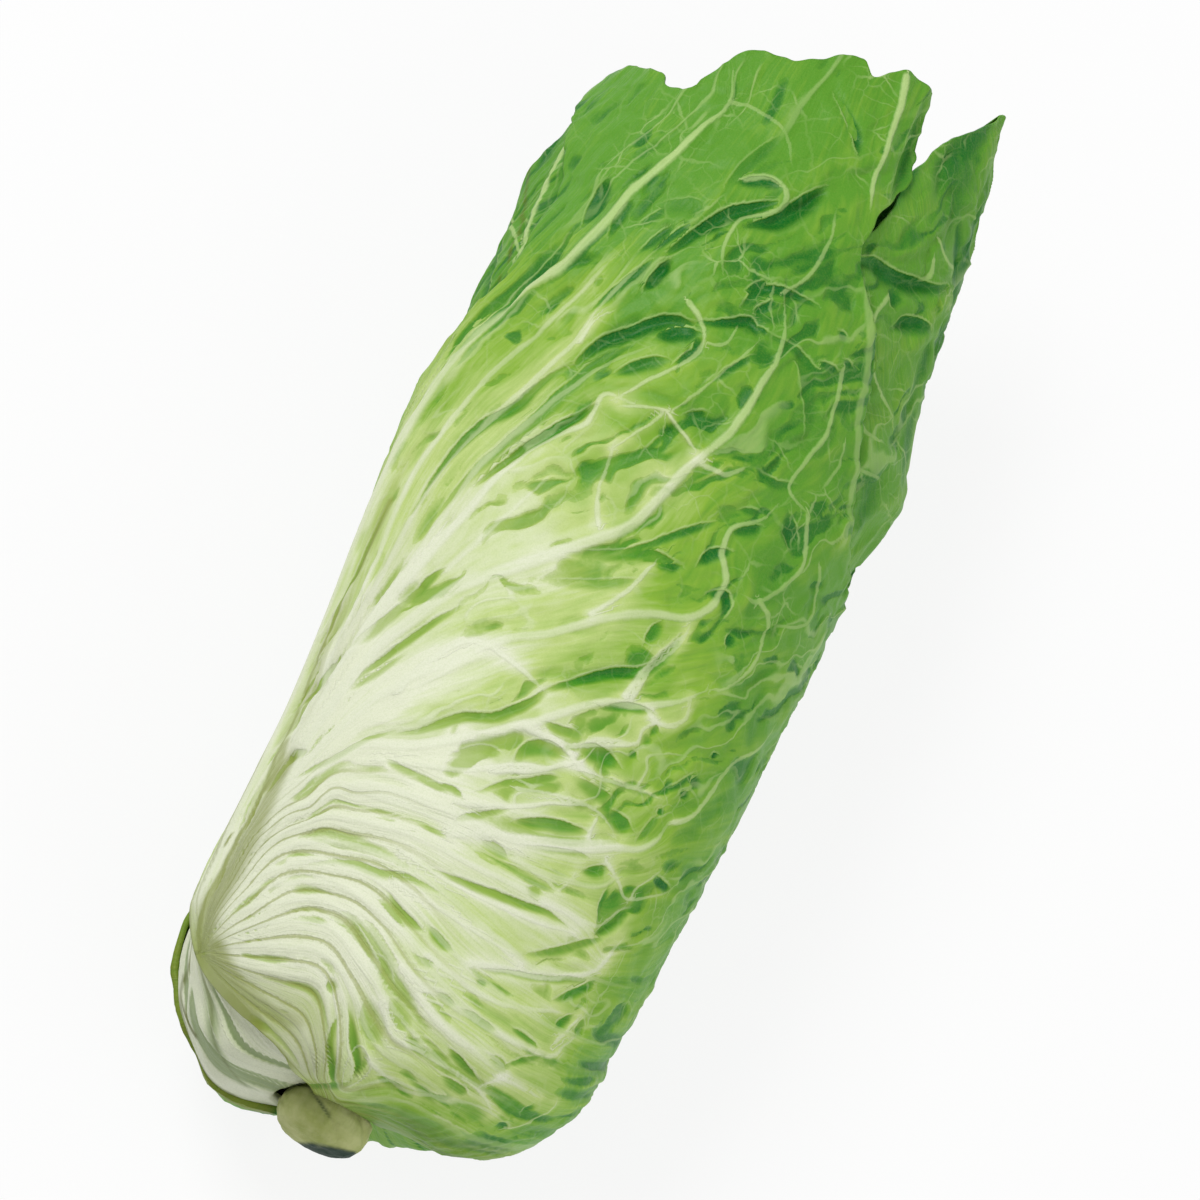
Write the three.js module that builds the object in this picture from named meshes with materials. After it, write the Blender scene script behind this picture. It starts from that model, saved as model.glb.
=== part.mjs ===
// A head of sugarloaf chicory lying on its side: a cut stump, four large
// wrapper leaves, a spiral of folded inner leaves and the closed heart bud.
// Every leaf is its own closed solid, in millimetres. The head lies along Y with
// its cut stump at low Y, and Z is up.
//
// All leaves share one body surface, which is read in two coordinates:
//   reach  the distance from the stump towards the leaf tips. The first
//          BASE_REACH of it runs over the rounded base, the rest along the barrel.
//   turn   the angle round the head in degrees, 0 on top and 90 on the +X side.
// A leaf lies below the body surface by one layer for every leaf outside it.
import * as THREE from "three";

// Driving dimensions of the head.
const HALF_WIDTH = 62;
const HALF_HEIGHT = 55;
const BASE_START = 5.5;
const BASE_REACH = 46;
const STUMP_RADIUS = 13.4;
const STUMP_LENGTH = 17;

// Driving dimensions of the leaves.
const LEAF_THICKNESS = 1.2;
const LEAF_PITCH = 3.3;
const LEAF_START = 7.5;
const MARGIN_KEEP = 12;
const MARGIN_EASE = 30;
const RIB_HEIGHT = 3;
const RIB_HALF_TURN = 9;
const INNER_LEAVES = 10;
const SPIRAL_START = -148;
const SPIRAL_TURN = 137.5;

// The heart bud's ends, by reach, and the share of its length where it starts to close.
const HEART_START = 9.5;
const HEART_TOP = 290;
const HEART_SHOULDER = 0.66;

// Rows of a leaf stand closer together over the rounded base.
const ROW_CROWDING = 1.45;

// The head settles under its own weight: what is lower than SETTLE_HEIGHT above
// the uncompressed underside is pressed flatter, and nothing reaches below
// RESTING_HEIGHT, so the lowest part is level. Heights are measured from the axis.
const UNDERSIDE = -60;
const SETTLE_HEIGHT = 20;
const SETTLE_SHARE = 0.45;
const RESTING_HEIGHT = -52.3;

const rad = THREE.MathUtils.degToRad;
const clamp = THREE.MathUtils.clamp;
const smoothstep = THREE.MathUtils.smoothstep;

// Half-width of the barrel against HALF_WIDTH, by reach.
const BARREL = [
  [46, 0.985],
  [90, 1.015],
  [150, 1.045],
  [205, 1.055],
  [240, 1.045],
  [270, 0.995],
  [300, 0.92],
  [325, 0.84],
  [350, 0.76],
];

// Sideways bend of the head's axis, by reach.
const BEND = [
  [0, 0],
  [40, 1.5],
  [100, 2.5],
  [180, 0],
  [260, -2.5],
  [300, -2],
  [350, -1],
];

// The value of a list of [position, value] pairs, in straight steps between its points.
function along(points, position) {
  if (position <= points[0][0]) return points[0][1];
  for (let i = 1; i < points.length; i++) {
    const [end, high] = points[i];
    const [start, low] = points[i - 1];
    if (position <= end) {
      return low + ((high - low) * (position - start)) / (end - start);
    }
  }
  return points[points.length - 1][1];
}

// The angle from one turn to another, between -180 and 180 degrees.
function turnFrom(turn, start) {
  return THREE.MathUtils.euclideanModulo(turn - start + 180, 360) - 180;
}

// How the underside settles. It keeps the order of heights, so no leaf meets another.
function settle(height) {
  const pressed = Math.max(0, UNDERSIDE + SETTLE_HEIGHT - height);
  return height + ((1 - SETTLE_SHARE) * pressed * pressed) / (2 * SETTLE_HEIGHT);
}

// A point of the body surface, taken in by depth.
function bodyPoint(reach, turn, depth) {
  const climb = (Math.PI / 2) * clamp(reach / BASE_REACH, 0, 1);
  const barrel = reach < BASE_REACH ? BARREL[0][1] : along(BARREL, reach);
  const ripple =
    0.9 * Math.sin(rad(3 * turn) + reach / 34) + 0.7 * Math.sin(rad(2 * turn) - reach / 23);
  const bulge = 3.5 * Math.exp(-(((reach - 238) / 42) ** 2) - ((turnFrom(turn, 84) / 38) ** 2));
  const width = HALF_WIDTH * barrel + (ripple + bulge) * Math.sin(climb) - depth;
  const flattening = (HALF_WIDTH - HALF_HEIGHT) * Math.sin(climb) ** 2;
  const x = along(BEND, reach) + width * Math.sin(climb) * Math.sin(rad(turn));
  const upright = Math.sin(climb) * Math.cos(rad(turn));
  const surfaceHeight = settle((width + depth - flattening) * upright);
  const z = settle((width - flattening) * upright) + Math.max(0, RESTING_HEIGHT - surfaceHeight);
  const y =
    reach < BASE_REACH
      ? BASE_START + BASE_REACH - (BASE_REACH - depth) * Math.cos(climb)
      : BASE_START + reach;
  return new THREE.Vector3(x, y, z);
}

// The large leaves, outermost first. low and high are the two margins as [reach, turn]
// pairs, tip is the top margin as [share of the width, reach] pairs, and rib is the
// route of the midrib as [reach, turn] pairs.
const wrapperLeaves = [
  {
    name: "front_leaf",
    low: [
      [7, -24], [18, -42], [28, -66], [36, -80], [60, -94], [100, -110], [150, -114],
      [190, -98], [218, -78], [245, -71], [300, -70],
    ],
    high: [
      [7, 34], [20, 66], [34, 87], [55, 100], [120, 105], [172, 102], [208, 76], [220, 62],
      [240, 48], [258, 41], [275, 30], [290, 23], [312, 29], [336, 26],
    ],
    tip: [
      [0, 297], [0.1, 303], [0.22, 309], [0.3, 303], [0.38, 310], [0.48, 319],
      [0.6, 324], [0.7, 326], [0.78, 331], [0.84, 327], [0.91, 333], [1, 333],
    ],
    rib: [
      [7, -22], [28, -48], [60, -60], [100, -69], [190, -69], [215, -60], [245, -44],
      [280, -32], [325, -27],
    ],
    steps: [18, 16],
    ribHeight: RIB_HEIGHT,
  },
  {
    name: "under_leaf",
    low: [[7, 132], [25, 108], [80, 88], [180, 86], [225, 104], [300, 124]],
    high: [[7, 230], [25, 250], [80, 260], [180, 252], [230, 240], [300, 226]],
    tip: [[0, 284], [0.2, 300], [0.4, 309], [0.55, 305], [0.75, 303], [1, 280]],
    rib: [[7, 180], [300, 174]],
    steps: [16, 14],
    ribHeight: 0,
  },
  {
    name: "left_leaf",
    low: [[7, -150], [25, -172], [90, -190], [200, -182], [255, -150], [288, -118]],
    high: [[7, -62], [25, -42], [90, -20], [200, -28], [250, -44], [288, -62]],
    tip: [[0, 262], [0.25, 271], [0.5, 279], [0.66, 290], [0.8, 283], [1, 276]],
    rib: [[7, -104], [100, -92], [288, -80]],
    steps: [15, 13],
    ribHeight: 0,
  },
  {
    name: "right_leaf",
    low: [[7, 52], [25, 34], [90, 14], [200, 8], [265, 12], [290, 20], [310, 34], [337, 44]],
    high: [[7, 150], [25, 172], [90, 188], [200, 184], [255, 165], [300, 130], [337, 104]],
    tip: [
      [0, 308], [0.1, 317], [0.28, 322], [0.42, 331], [0.5, 337], [0.6, 320], [0.8, 310], [1, 290],
    ],
    rib: [[7, 104], [100, 110], [320, 86]],
    steps: [17, 13],
    ribHeight: 0,
  },
];

// The folded inner leaves climb the stump in a spiral. Each wraps a little further
// round the head than the one outside it.
function innerLeaf(index) {
  const share = index / (INNER_LEAVES - 1);
  const middle = SPIRAL_START + SPIRAL_TURN * index;
  const base = 44 + 12 * share;
  const wrap = 104 + 36 * share;
  const top = 316 - 22 * share + 7 * Math.sin(2.4 * index);
  const margin = (side) => [
    [7, middle + side * base],
    [30, middle + side * (base + 0.55 * (wrap - base))],
    [85, middle + side * wrap],
    [215, middle + side * wrap],
    [270, middle + side * wrap * 0.92],
    [320, middle + side * wrap * 0.8],
  ];
  return {
    name: `inner_leaf_${String(index + 1).padStart(2, "0")}`,
    low: margin(-1),
    high: margin(1),
    tip: [[0, top - 34], [0.2, top - 12], [0.42, top], [0.58, top - 2], [0.8, top - 14], [1, top - 38]],
    rib: [[7, middle], [320, middle]],
    steps: [11, 15],
    ribHeight: 0,
  };
}

const innerLeaves = Array.from({ length: INNER_LEAVES }, (_, index) => innerLeaf(index));
const allLeaves = [...wrapperLeaves, ...innerLeaves];

// How far a leaf covers a place on the body: 1 on the leaf and for MARGIN_KEEP degrees
// past its margins, easing to 0 over the next MARGIN_EASE degrees.
function coverage(leaf, reach, turn) {
  const low = along(leaf.low, reach);
  const high = along(leaf.high, reach);
  const middle = (low + high) / 2;
  const near = middle + turnFrom(turn, middle);
  const within = Math.min(near - low, high - near) + MARGIN_KEEP;
  return smoothstep(within / MARGIN_EASE + 1, 0, 1);
}

// The depth of a leaf's outer face, where order counts the leaves outside it. A wrapper
// leaf takes a layer only where it lies, and an inner leaf takes a full layer.
function depthUnder(order, reach, turn) {
  const covering = wrapperLeaves.slice(0, order);
  const inner = Math.max(0, order - wrapperLeaves.length);
  const layers = covering.reduce((sum, leaf) => sum + coverage(leaf, reach, turn), inner);
  return LEAF_PITCH * layers;
}

// A closed solid from a grid of outer points and a grid of inner points.
function closedSheet(outer, inner, rows, columns) {
  const positions = [...outer, ...inner].flatMap((point) => point.toArray());
  const offset = outer.length;
  const at = (row, column) => row * (columns + 1) + column;
  const indices = [];
  const quad = (a, b, c, d) => indices.push(a, b, c, a, c, d);
  for (let row = 0; row < rows; row++) {
    for (let column = 0; column < columns; column++) {
      const [a, b] = [at(row, column), at(row, column + 1)];
      const [c, d] = [at(row + 1, column + 1), at(row + 1, column)];
      quad(a, b, c, d);
      quad(offset + a, offset + d, offset + c, offset + b);
    }
  }
  const rim = [];
  for (let column = 0; column < columns; column++) rim.push(at(0, column));
  for (let row = 0; row < rows; row++) rim.push(at(row, columns));
  for (let column = columns; column > 0; column--) rim.push(at(rows, column));
  for (let row = rows; row > 0; row--) rim.push(at(row, 0));
  rim.forEach((start, index) => {
    const end = rim[(index + 1) % rim.length];
    quad(start, offset + start, offset + end, end);
  });
  const geometry = new THREE.BufferGeometry();
  geometry.setAttribute("position", new THREE.Float32BufferAttribute(positions, 3));
  geometry.setIndex(indices);
  geometry.computeVertexNormals();
  return geometry;
}

// The place of a share of a leaf's length and width, as [reach, turn].
function leafPlace(leaf, length, width) {
  const reach = LEAF_START + length * (along(leaf.tip, width) - LEAF_START);
  return [reach, THREE.MathUtils.lerp(along(leaf.low, reach), along(leaf.high, reach), width)];
}

function leafGeometry(leaf, order) {
  const [rows, columns] = leaf.steps;
  const outer = [];
  const inner = [];
  for (let row = 0; row <= rows; row++) {
    for (let column = 0; column <= columns; column++) {
      const [reach, turn] = leafPlace(leaf, (row / rows) ** ROW_CROWDING, column / columns);
      const depth = depthUnder(order, reach, turn);
      const offRib = (turn - along(leaf.rib, reach)) / RIB_HALF_TURN;
      const taper = 1 - 0.8 * clamp(reach / 320, 0, 1);
      const rib = leaf.ribHeight * taper * Math.exp(-offRib * offRib);
      outer.push(bodyPoint(reach, turn, depth - rib));
      inner.push(bodyPoint(reach, turn, depth + LEAF_THICKNESS));
    }
  }
  return closedSheet(outer, inner, rows, columns);
}

// The closed bud in the middle: rings on the body surface that draw together at the top.
function heartGeometry() {
  const rings = 13;
  const sides = 14;
  const gap = 0.8;
  const points = [];
  for (let ring = 0; ring <= rings; ring++) {
    const share = ring / rings;
    const reach = HEART_START + share * (HEART_TOP - HEART_START);
    const closing = Math.max(0, share - HEART_SHOULDER) / (1.02 - HEART_SHOULDER);
    for (let side = 0; side < sides; side++) {
      const turn = (360 * side) / sides;
      const face = bodyPoint(reach, turn, depthUnder(allLeaves.length, reach, turn) + gap);
      const axis = new THREE.Vector3(along(BEND, reach), face.y, 0);
      points.push(axis.lerp(face, Math.sqrt(1 - closing * closing)));
    }
  }
  const bottom = points.length;
  const centre = (first) => {
    const sum = new THREE.Vector3();
    points.slice(first, first + sides).forEach((point) => sum.add(point));
    return sum.divideScalar(sides);
  };
  points.push(centre(0), centre(rings * sides));
  const indices = [];
  for (let ring = 0; ring < rings; ring++) {
    for (let side = 0; side < sides; side++) {
      const [a, b] = [ring * sides + side, ring * sides + ((side + 1) % sides)];
      indices.push(a, b, b + sides, a, b + sides, a + sides);
    }
  }
  for (let side = 0; side < sides; side++) {
    const next = (side + 1) % sides;
    indices.push(bottom, next, side);
    indices.push(bottom + 1, rings * sides + side, rings * sides + next);
  }
  const geometry = new THREE.BufferGeometry();
  geometry.setAttribute("position", new THREE.Float32BufferAttribute(points.flatMap((p) => p.toArray()), 3));
  geometry.setIndex(indices);
  geometry.computeVertexNormals();
  return geometry;
}

// The stump: a flat cut face, a rounded shoulder, then a cone up between the leaf bases.
function stumpGeometry() {
  const profile = [
    new THREE.Vector2(0, 0),
    new THREE.Vector2(STUMP_RADIUS * 0.86, 0),
    new THREE.Vector2(STUMP_RADIUS * 0.97, 1.4),
    new THREE.Vector2(STUMP_RADIUS, 4.5),
    new THREE.Vector2(STUMP_RADIUS * 0.97, 8),
    new THREE.Vector2(STUMP_RADIUS * 0.72, 14),
    new THREE.Vector2(STUMP_RADIUS * 0.45, STUMP_LENGTH - 1),
    new THREE.Vector2(0, STUMP_LENGTH),
  ];
  return new THREE.LatheGeometry(profile, 20);
}

const leafGreen = new THREE.MeshStandardMaterial({ color: 0x7fb53c, roughness: 0.5, metalness: 0 });
const paleLeaf = new THREE.MeshStandardMaterial({ color: 0xd6e3a0, roughness: 0.5, metalness: 0 });
const stumpCream = new THREE.MeshStandardMaterial({ color: 0xd8d3a4, roughness: 0.65, metalness: 0 });

function piece(name, geometry, material) {
  const mesh = new THREE.Mesh(geometry, material);
  mesh.name = name;
  return mesh;
}

const head = new THREE.Group();
head.add(piece("stump", stumpGeometry(), stumpCream));
allLeaves.forEach((leaf, order) => {
  const material = order < wrapperLeaves.length ? leafGreen : paleLeaf;
  head.add(piece(leaf.name, leafGeometry(leaf, order), material));
});
head.add(piece("heart_bud", heartGeometry(), paleLeaf));

// The part's origin is the middle of its footprint.
const box = new THREE.Box3().setFromObject(head);
const middle = box.getCenter(new THREE.Vector3());
head.position.set(-middle.x, -middle.y, -box.min.z);

const part = new THREE.Group();
part.add(head);
export default part;
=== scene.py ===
"""Looks of a head of sugarloaf chicory lying on its side.

Every leaf is a closed blade bent over one shared head form. The form is read in three
coordinates: reach, the distance from the stump towards the tips, turn, the angle round the
head in degrees with 0 on top and 90 on the +X side, and depth, the distance inwards.
Lengths in the classes are in millimetres, and meshes are written in metres.
"""

import logging
import math
from dataclasses import dataclass, field

import bmesh
import bpy
import numpy as np
from mathutils import Matrix, Vector

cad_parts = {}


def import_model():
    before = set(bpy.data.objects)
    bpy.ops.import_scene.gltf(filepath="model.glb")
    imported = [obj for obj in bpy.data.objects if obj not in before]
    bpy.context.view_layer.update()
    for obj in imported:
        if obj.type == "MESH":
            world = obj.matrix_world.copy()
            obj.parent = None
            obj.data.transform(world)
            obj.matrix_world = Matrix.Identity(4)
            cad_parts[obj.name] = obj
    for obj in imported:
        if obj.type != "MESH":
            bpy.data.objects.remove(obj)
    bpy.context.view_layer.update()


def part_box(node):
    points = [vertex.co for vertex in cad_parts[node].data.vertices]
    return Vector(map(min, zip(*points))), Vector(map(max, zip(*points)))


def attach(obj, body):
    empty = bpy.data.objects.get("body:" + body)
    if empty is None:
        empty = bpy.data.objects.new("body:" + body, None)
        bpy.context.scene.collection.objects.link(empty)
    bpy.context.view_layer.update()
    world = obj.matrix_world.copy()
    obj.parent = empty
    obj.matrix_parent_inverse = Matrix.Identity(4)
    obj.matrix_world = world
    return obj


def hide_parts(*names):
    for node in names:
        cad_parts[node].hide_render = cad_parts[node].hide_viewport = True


LOG = logging.getLogger("sugarloaf_chicory")
MM = 0.001
Array = np.ndarray
Profile = tuple[tuple[float, float], ...]
Span = tuple[float, float]
Socket = bpy.types.NodeSocket
MM_PER_DEGREE = 1.05  # about the length of one degree of turn on the widest part
NO_VEIN = (6.0, 1.0, 0.0)  # side, half-width and tone where no vein is near
NO_FOLD = (1.0, 0.0, -1.0)  # level, how far it shows and pit where nothing is folded
LINE_MARGIN = 14.0
SPAN_STEPS = 5
SHEET_PART = 8000


# ---------------------------------------------------------------- numbers and noise


def smoothstep(value: Array, low: float, high: float) -> Array:
    """Eases from 0 at low to 1 at high.

    Args:
        value: the numbers to ease.
        low: where the result leaves 0.
        high: where the result reaches 1.

    Returns:
        The eased numbers, between 0 and 1.
    """
    share = np.clip((value - low) / (high - low), 0.0, 1.0)
    return share * share * (3.0 - 2.0 * share)


def profile_at(points: Profile, position: Array) -> Array:
    """Reads a profile of (position, value) pairs as one smooth curve without overshoot.

    Args:
        points: the pairs, in order of position.
        position: where to read the profile.

    Returns:
        The value at each position.
    """
    places, values = np.array(points, float).T
    gaps = np.diff(places)
    rates = np.diff(values) / gaps
    slopes = np.empty_like(values)
    slopes[0], slopes[-1] = rates[0], rates[-1]
    before, after = rates[:-1], rates[1:]
    product = before * after
    total = np.where(product > 0, before + after, 1.0)
    slopes[1:-1] = np.where(product > 0, 2.0 * product / total, 0.0)
    index = np.clip(np.searchsorted(places, position) - 1, 0, len(gaps) - 1)
    gap = gaps[index]
    share = np.clip((position - places[index]) / gap, 0.0, 1.0)
    square, cube = share**2, share**3
    return (
        (2 * cube - 3 * square + 1) * values[index]
        + (cube - 2 * square + share) * gap * slopes[index]
        + (3 * square - 2 * cube) * values[index + 1]
        + (cube - square) * gap * slopes[index + 1]
    )


def turn_from(turn: Array, start: Array) -> Array:
    """The angle from start to turn, between -180 and 180 degrees."""
    return np.mod(turn - start + 180.0, 360.0) - 180.0


def lattice(column: Array, row: Array, seed: int) -> Array:
    """A steady number between 0 and 1 for each cell of a square lattice.

    Args:
        column: whole column numbers.
        row: whole row numbers.
        seed: picks one lattice among many.

    Returns:
        The cells' numbers.
    """
    mixed = column.astype(np.int64) * 374761393 + row.astype(np.int64) * 668265263
    mixed = (mixed + seed * 974634777) & 0xFFFFFFFF
    mixed = ((mixed ^ (mixed >> 13)) * 1274126177) & 0xFFFFFFFF
    return ((mixed ^ (mixed >> 16)) & 0xFFFF) / 65535.0


def noise(across: Array, along: Array, seed: int, octaves: int = 1) -> Array:
    """Smooth noise between about -1 and 1, with one bump a unit.

    Args:
        across: first coordinate.
        along: second coordinate.
        seed: picks one pattern among many.
        octaves: how many finer layers are added, each half as strong.

    Returns:
        The noise at each place.
    """
    total = np.zeros_like(across)
    weight, weights = 1.0, 0.0
    for octave in range(octaves):
        x, y = across * 2.0**octave, along * 2.0**octave
        column, row = np.floor(x), np.floor(y)
        share_x, share_y = smoothstep(x - column, 0, 1), smoothstep(y - row, 0, 1)
        layer = seed + 31 * octave
        low = lattice(column, row, layer) * (1 - share_x) + lattice(column + 1, row, layer) * share_x
        high = lattice(column, row + 1, layer) * (1 - share_x)
        high = high + lattice(column + 1, row + 1, layer) * share_x
        total = total + weight * (2.0 * (low * (1 - share_y) + high * share_y) - 1.0)
        weights += weight
        weight *= 0.5
    return total / weights


def cells(across: Array, along: Array, seed: int) -> tuple[Array, Array]:
    """A net of irregular cells, one to each unit square.

    Args:
        across: first coordinate.
        along: second coordinate.
        seed: picks one net among many.

    Returns:
        The distance to the nearest cell wall, and a number between 0 and 1 for each cell.
    """
    column, row = np.floor(across), np.floor(along)
    first = np.full(across.shape, 1e9)
    second = np.full(across.shape, 1e9)
    nearest = np.zeros((2,) + across.shape)
    runner_up = np.zeros((2,) + across.shape)
    tone = np.zeros(across.shape)
    for step_x in (-1, 0, 1):
        for step_y in (-1, 0, 1):
            cell_x, cell_y = column + step_x, row + step_y
            seed_x = cell_x + 0.1 + 0.8 * lattice(cell_x, cell_y, seed)
            seed_y = cell_y + 0.1 + 0.8 * lattice(cell_x, cell_y, seed + 7)
            gap = (across - seed_x) ** 2 + (along - seed_y) ** 2
            closer = gap < first
            middle = ~closer & (gap < second)
            second = np.where(closer, first, np.where(middle, gap, second))
            runner_up = np.where(closer, nearest, np.where(middle, (seed_x, seed_y), runner_up))
            first = np.where(closer, gap, first)
            nearest = np.where(closer, (seed_x, seed_y), nearest)
            tone = np.where(closer, lattice(cell_x, cell_y, seed + 13), tone)
    apart = np.sqrt(((nearest - runner_up) ** 2).sum(axis=0)) + 1e-6
    return (second - first) / (2.0 * apart), tone


def bell(distance: Array, width: Array) -> Array:
    """A soft bump: 1 at no distance, falling off over about width."""
    return np.exp(-((distance / width) ** 2))


# ---------------------------------------------------------------- the head's form


@dataclass(frozen=True)
class HeadForm:
    """The body surface that all leaves share, in millimetres.

    axis_start is the point where the head's axis meets the stump's cut face, in the
    frame of the part. ripples are (height, waves round the head, length of a wave along
    it), and bulges are (height, reach, its spread, turn, its spread).
    """

    axis_start: tuple[float, float, float]
    half_width: float = 62.0
    half_height: float = 55.0
    base_start: float = 5.5
    base_reach: float = 46.0
    underside: float = -60.0
    settle_height: float = 20.0
    settle_share: float = 0.45
    resting_height: float = -52.3
    barrel: Profile = (
        (46, 0.985), (90, 1.015), (150, 1.045), (205, 1.055), (240, 1.045),
        (270, 0.995), (300, 0.92), (325, 0.84), (350, 0.76),
    )
    bend: Profile = (
        (0, 0), (40, 1.5), (100, 2.5), (180, 0), (260, -2.5), (300, -2), (350, -1),
    )
    dimple: float = 6.0
    tuck: float = 9.0
    ripples: tuple[tuple[float, int, float], ...] = ((0.9, 3, 34.0), (0.7, 2, -23.0))
    bulges: tuple[tuple[float, ...], ...] = ((3.5, 238, 42, 84, 38), (-1.6, 118, 85, 95, 34))

    def settle(self, height: Array) -> Array:
        """How the underside is pressed flatter by the head's weight."""
        pressed = np.maximum(0.0, self.underside + self.settle_height - height)
        return height + (1 - self.settle_share) * pressed**2 / (2 * self.settle_height)

    def climb(self, reach: Array) -> Array:
        """The angle that the surface has climbed over the rounded base, up to 90 degrees."""
        return 0.5 * math.pi * np.clip(reach / self.base_reach, 0.0, 1.0)

    def girth(self, reach: Array) -> Array:
        """The length of one degree of turn on the surface."""
        size = self.half_width * profile_at(self.barrel, np.maximum(reach, self.base_reach))
        return np.radians(size * np.sin(self.climb(reach)))

    def surface(self, reach: Array, turn: Array, depth: Array) -> Array:
        """Points of the body surface, taken in by depth.

        Args:
            reach: distance from the stump towards the tips.
            turn: angle round the head in degrees.
            depth: distance inwards.

        Returns:
            An array of points, three numbers each, in the frame of the part.
        """
        climb = self.climb(reach)
        angle = np.radians(turn)
        barrel = profile_at(self.barrel, np.maximum(reach, self.base_reach))
        ripple = sum(
            height * np.sin(waves * angle + reach / length) for height, waves, length in self.ripples
        )
        bulge = sum(
            height * bell(reach - place, long) * bell(turn_from(turn, middle), wide)
            for height, place, long, middle, wide in self.bulges
        )
        full = self.half_width * barrel + (ripple + bulge) * np.sin(climb)
        flattening = (self.half_width - self.half_height) * np.sin(climb) ** 2
        upright = np.sin(climb) * np.cos(angle)
        lift = np.maximum(0.0, self.resting_height - self.settle((full - flattening) * upright))
        x = profile_at(self.bend, reach) + (full - depth) * np.sin(climb) * np.sin(angle)
        z = self.settle((full - depth - flattening) * upright) + lift
        rounded = self.base_start + self.base_reach - (self.base_reach - depth) * np.cos(climb)
        y = np.where(reach < self.base_reach, rounded, self.base_start + reach)
        y = y + self.dimple * (1.0 - smoothstep(reach, 7.0, 19.0))
        lower_side = bell(turn_from(turn, 145.0), 66.0)
        y = y + self.tuck * lower_side * (1.0 - smoothstep(reach, 8.0, 60.0))
        return np.stack([x, y, z], axis=-1) + np.array(self.axis_start)


@dataclass(frozen=True)
class Outline:
    """A leaf's margins: low and high as (reach, turn), tip as (share of width, reach)."""

    low: Profile
    high: Profile
    tip: Profile
    start: float = 7.5

    def place(self, across: Array, along: Array) -> tuple[Array, Array]:
        """The reach and turn at shares of the leaf's width and length."""
        reach = self.start + along * (profile_at(self.tip, across) - self.start)
        low, high = profile_at(self.low, reach), profile_at(self.high, reach)
        return reach, low + (high - low) * across


@dataclass(frozen=True)
class Nesting:
    """How deep each leaf lies: one layer for every leaf outside it."""

    pitch: float = 3.3
    keep: float = 12.0
    ease: float = 30.0

    def coverage(self, outline: Outline, reach: Array, turn: Array) -> Array:
        """How far a leaf covers a place: 1 on it, easing to 0 past its margins."""
        low, high = profile_at(outline.low, reach), profile_at(outline.high, reach)
        near = turn_from(turn, (low + high) / 2)
        within = (high - low) / 2 - np.abs(near) + self.keep
        return smoothstep(within / self.ease + 1.0, 0.0, 1.0)

    def depth(self, covering: list[Outline], inner: int, reach: Array, turn: Array) -> Array:
        """The depth of a leaf's outer face.

        Args:
            covering: the wrapper leaves outside it.
            inner: the number of inner leaves outside it.
            reach: distance from the stump towards the tips.
            turn: angle round the head in degrees.

        Returns:
            The depth at each place.
        """
        layers = np.full(reach.shape, float(inner))
        for outline in covering:
            layers = layers + self.coverage(outline, reach, turn)
        return self.pitch * layers


# ---------------------------------------------------------------- ribs, veins and hollows


@dataclass(frozen=True)
class Route:
    """A rib or a hollow that runs over a leaf through (reach, turn) points.

    width is its half-width at both ends, strength is how strong it is at both ends, and
    height is how far it stands up, or lies in if negative.
    """

    points: Profile
    width: Span = (2.0, 1.0)
    strength: Span = (1.0, 0.8)
    height: float = 0.6

    def line(self, form: HeadForm) -> Array:
        """The route as a smooth line of points in space, SPAN_STEPS to each span."""
        ends = (self.points[0],) + self.points + (self.points[-1],)
        knots = np.array(ends, float)
        shares = np.linspace(0, 1, SPAN_STEPS, endpoint=False)[:, None]
        spans = []
        for a, b, c, d in zip(knots, knots[1:], knots[2:], knots[3:]):
            straight = (c - a) * shares
            curved = (2 * a - 5 * b + 4 * c - d) * shares**2
            spans.append(0.5 * (2 * b + straight + curved + (3 * b - a - 3 * c + d) * shares**3))
        places = np.concatenate(spans + [knots[-1:]])
        return form.surface(places[:, 0], places[:, 1], np.zeros(len(places)))


def distance_along(points: Array, outward: Array, line: Array) -> tuple[Array, Array, Array]:
    """How far points lie from a line, how far along it their nearest place is, and on which side.

    Args:
        points: the points, three numbers each.
        outward: which way the skin faces at each point.
        line: the line's points. Places that lie further from its box than LINE_MARGIN are
            left at a large distance.

    Returns:
        The distances, the shares of the line's length, and 1 on its left or -1 on its right.
    """
    distance = np.full(len(points), 1e3)
    share = np.zeros(len(points))
    side = np.ones(len(points))
    inside = (points > line.min(axis=0) - LINE_MARGIN) & (points < line.max(axis=0) + LINE_MARGIN)
    chosen = np.nonzero(inside.all(axis=1))[0]
    near, facing = points[chosen], outward[chosen]
    best = np.full(len(chosen), 1e6)
    best_share = np.zeros(len(chosen))
    best_side = np.ones(len(chosen))
    for index, (start, end) in enumerate(zip(line, line[1:])):
        run = end - start
        place = np.clip((near - start) @ run / max(run @ run, 1e-9), 0.0, 1.0)
        offset = near - start - place[:, None] * run
        gap = (offset**2).sum(axis=1)
        closer = gap < best
        best = np.where(closer, gap, best)
        best_share = np.where(closer, (index + place) / (len(line) - 1), best_share)
        left = (np.cross(run, offset) * facing).sum(axis=1)
        best_side = np.where(closer, np.where(left < 0, -1.0, 1.0), best_side)
    distance[chosen] = np.sqrt(best)
    share[chosen] = best_share
    side[chosen] = best_side
    return distance, share, side


def hollow(width: float, strength: float, *points: tuple[float, float]) -> Route:
    """A hollow, deeper where it is wide and strong."""
    depth = 0.75 * strength * min(width, 1.7)
    return Route(points, (width, width), (strength, strength), -depth)


def vein(width: float, strength: float, *points: tuple[float, float]) -> Route:
    """A vein that thins towards its end."""
    return Route(points, (width, 0.65 * width), (strength, 0.75 * strength), 0.5 * strength)


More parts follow.
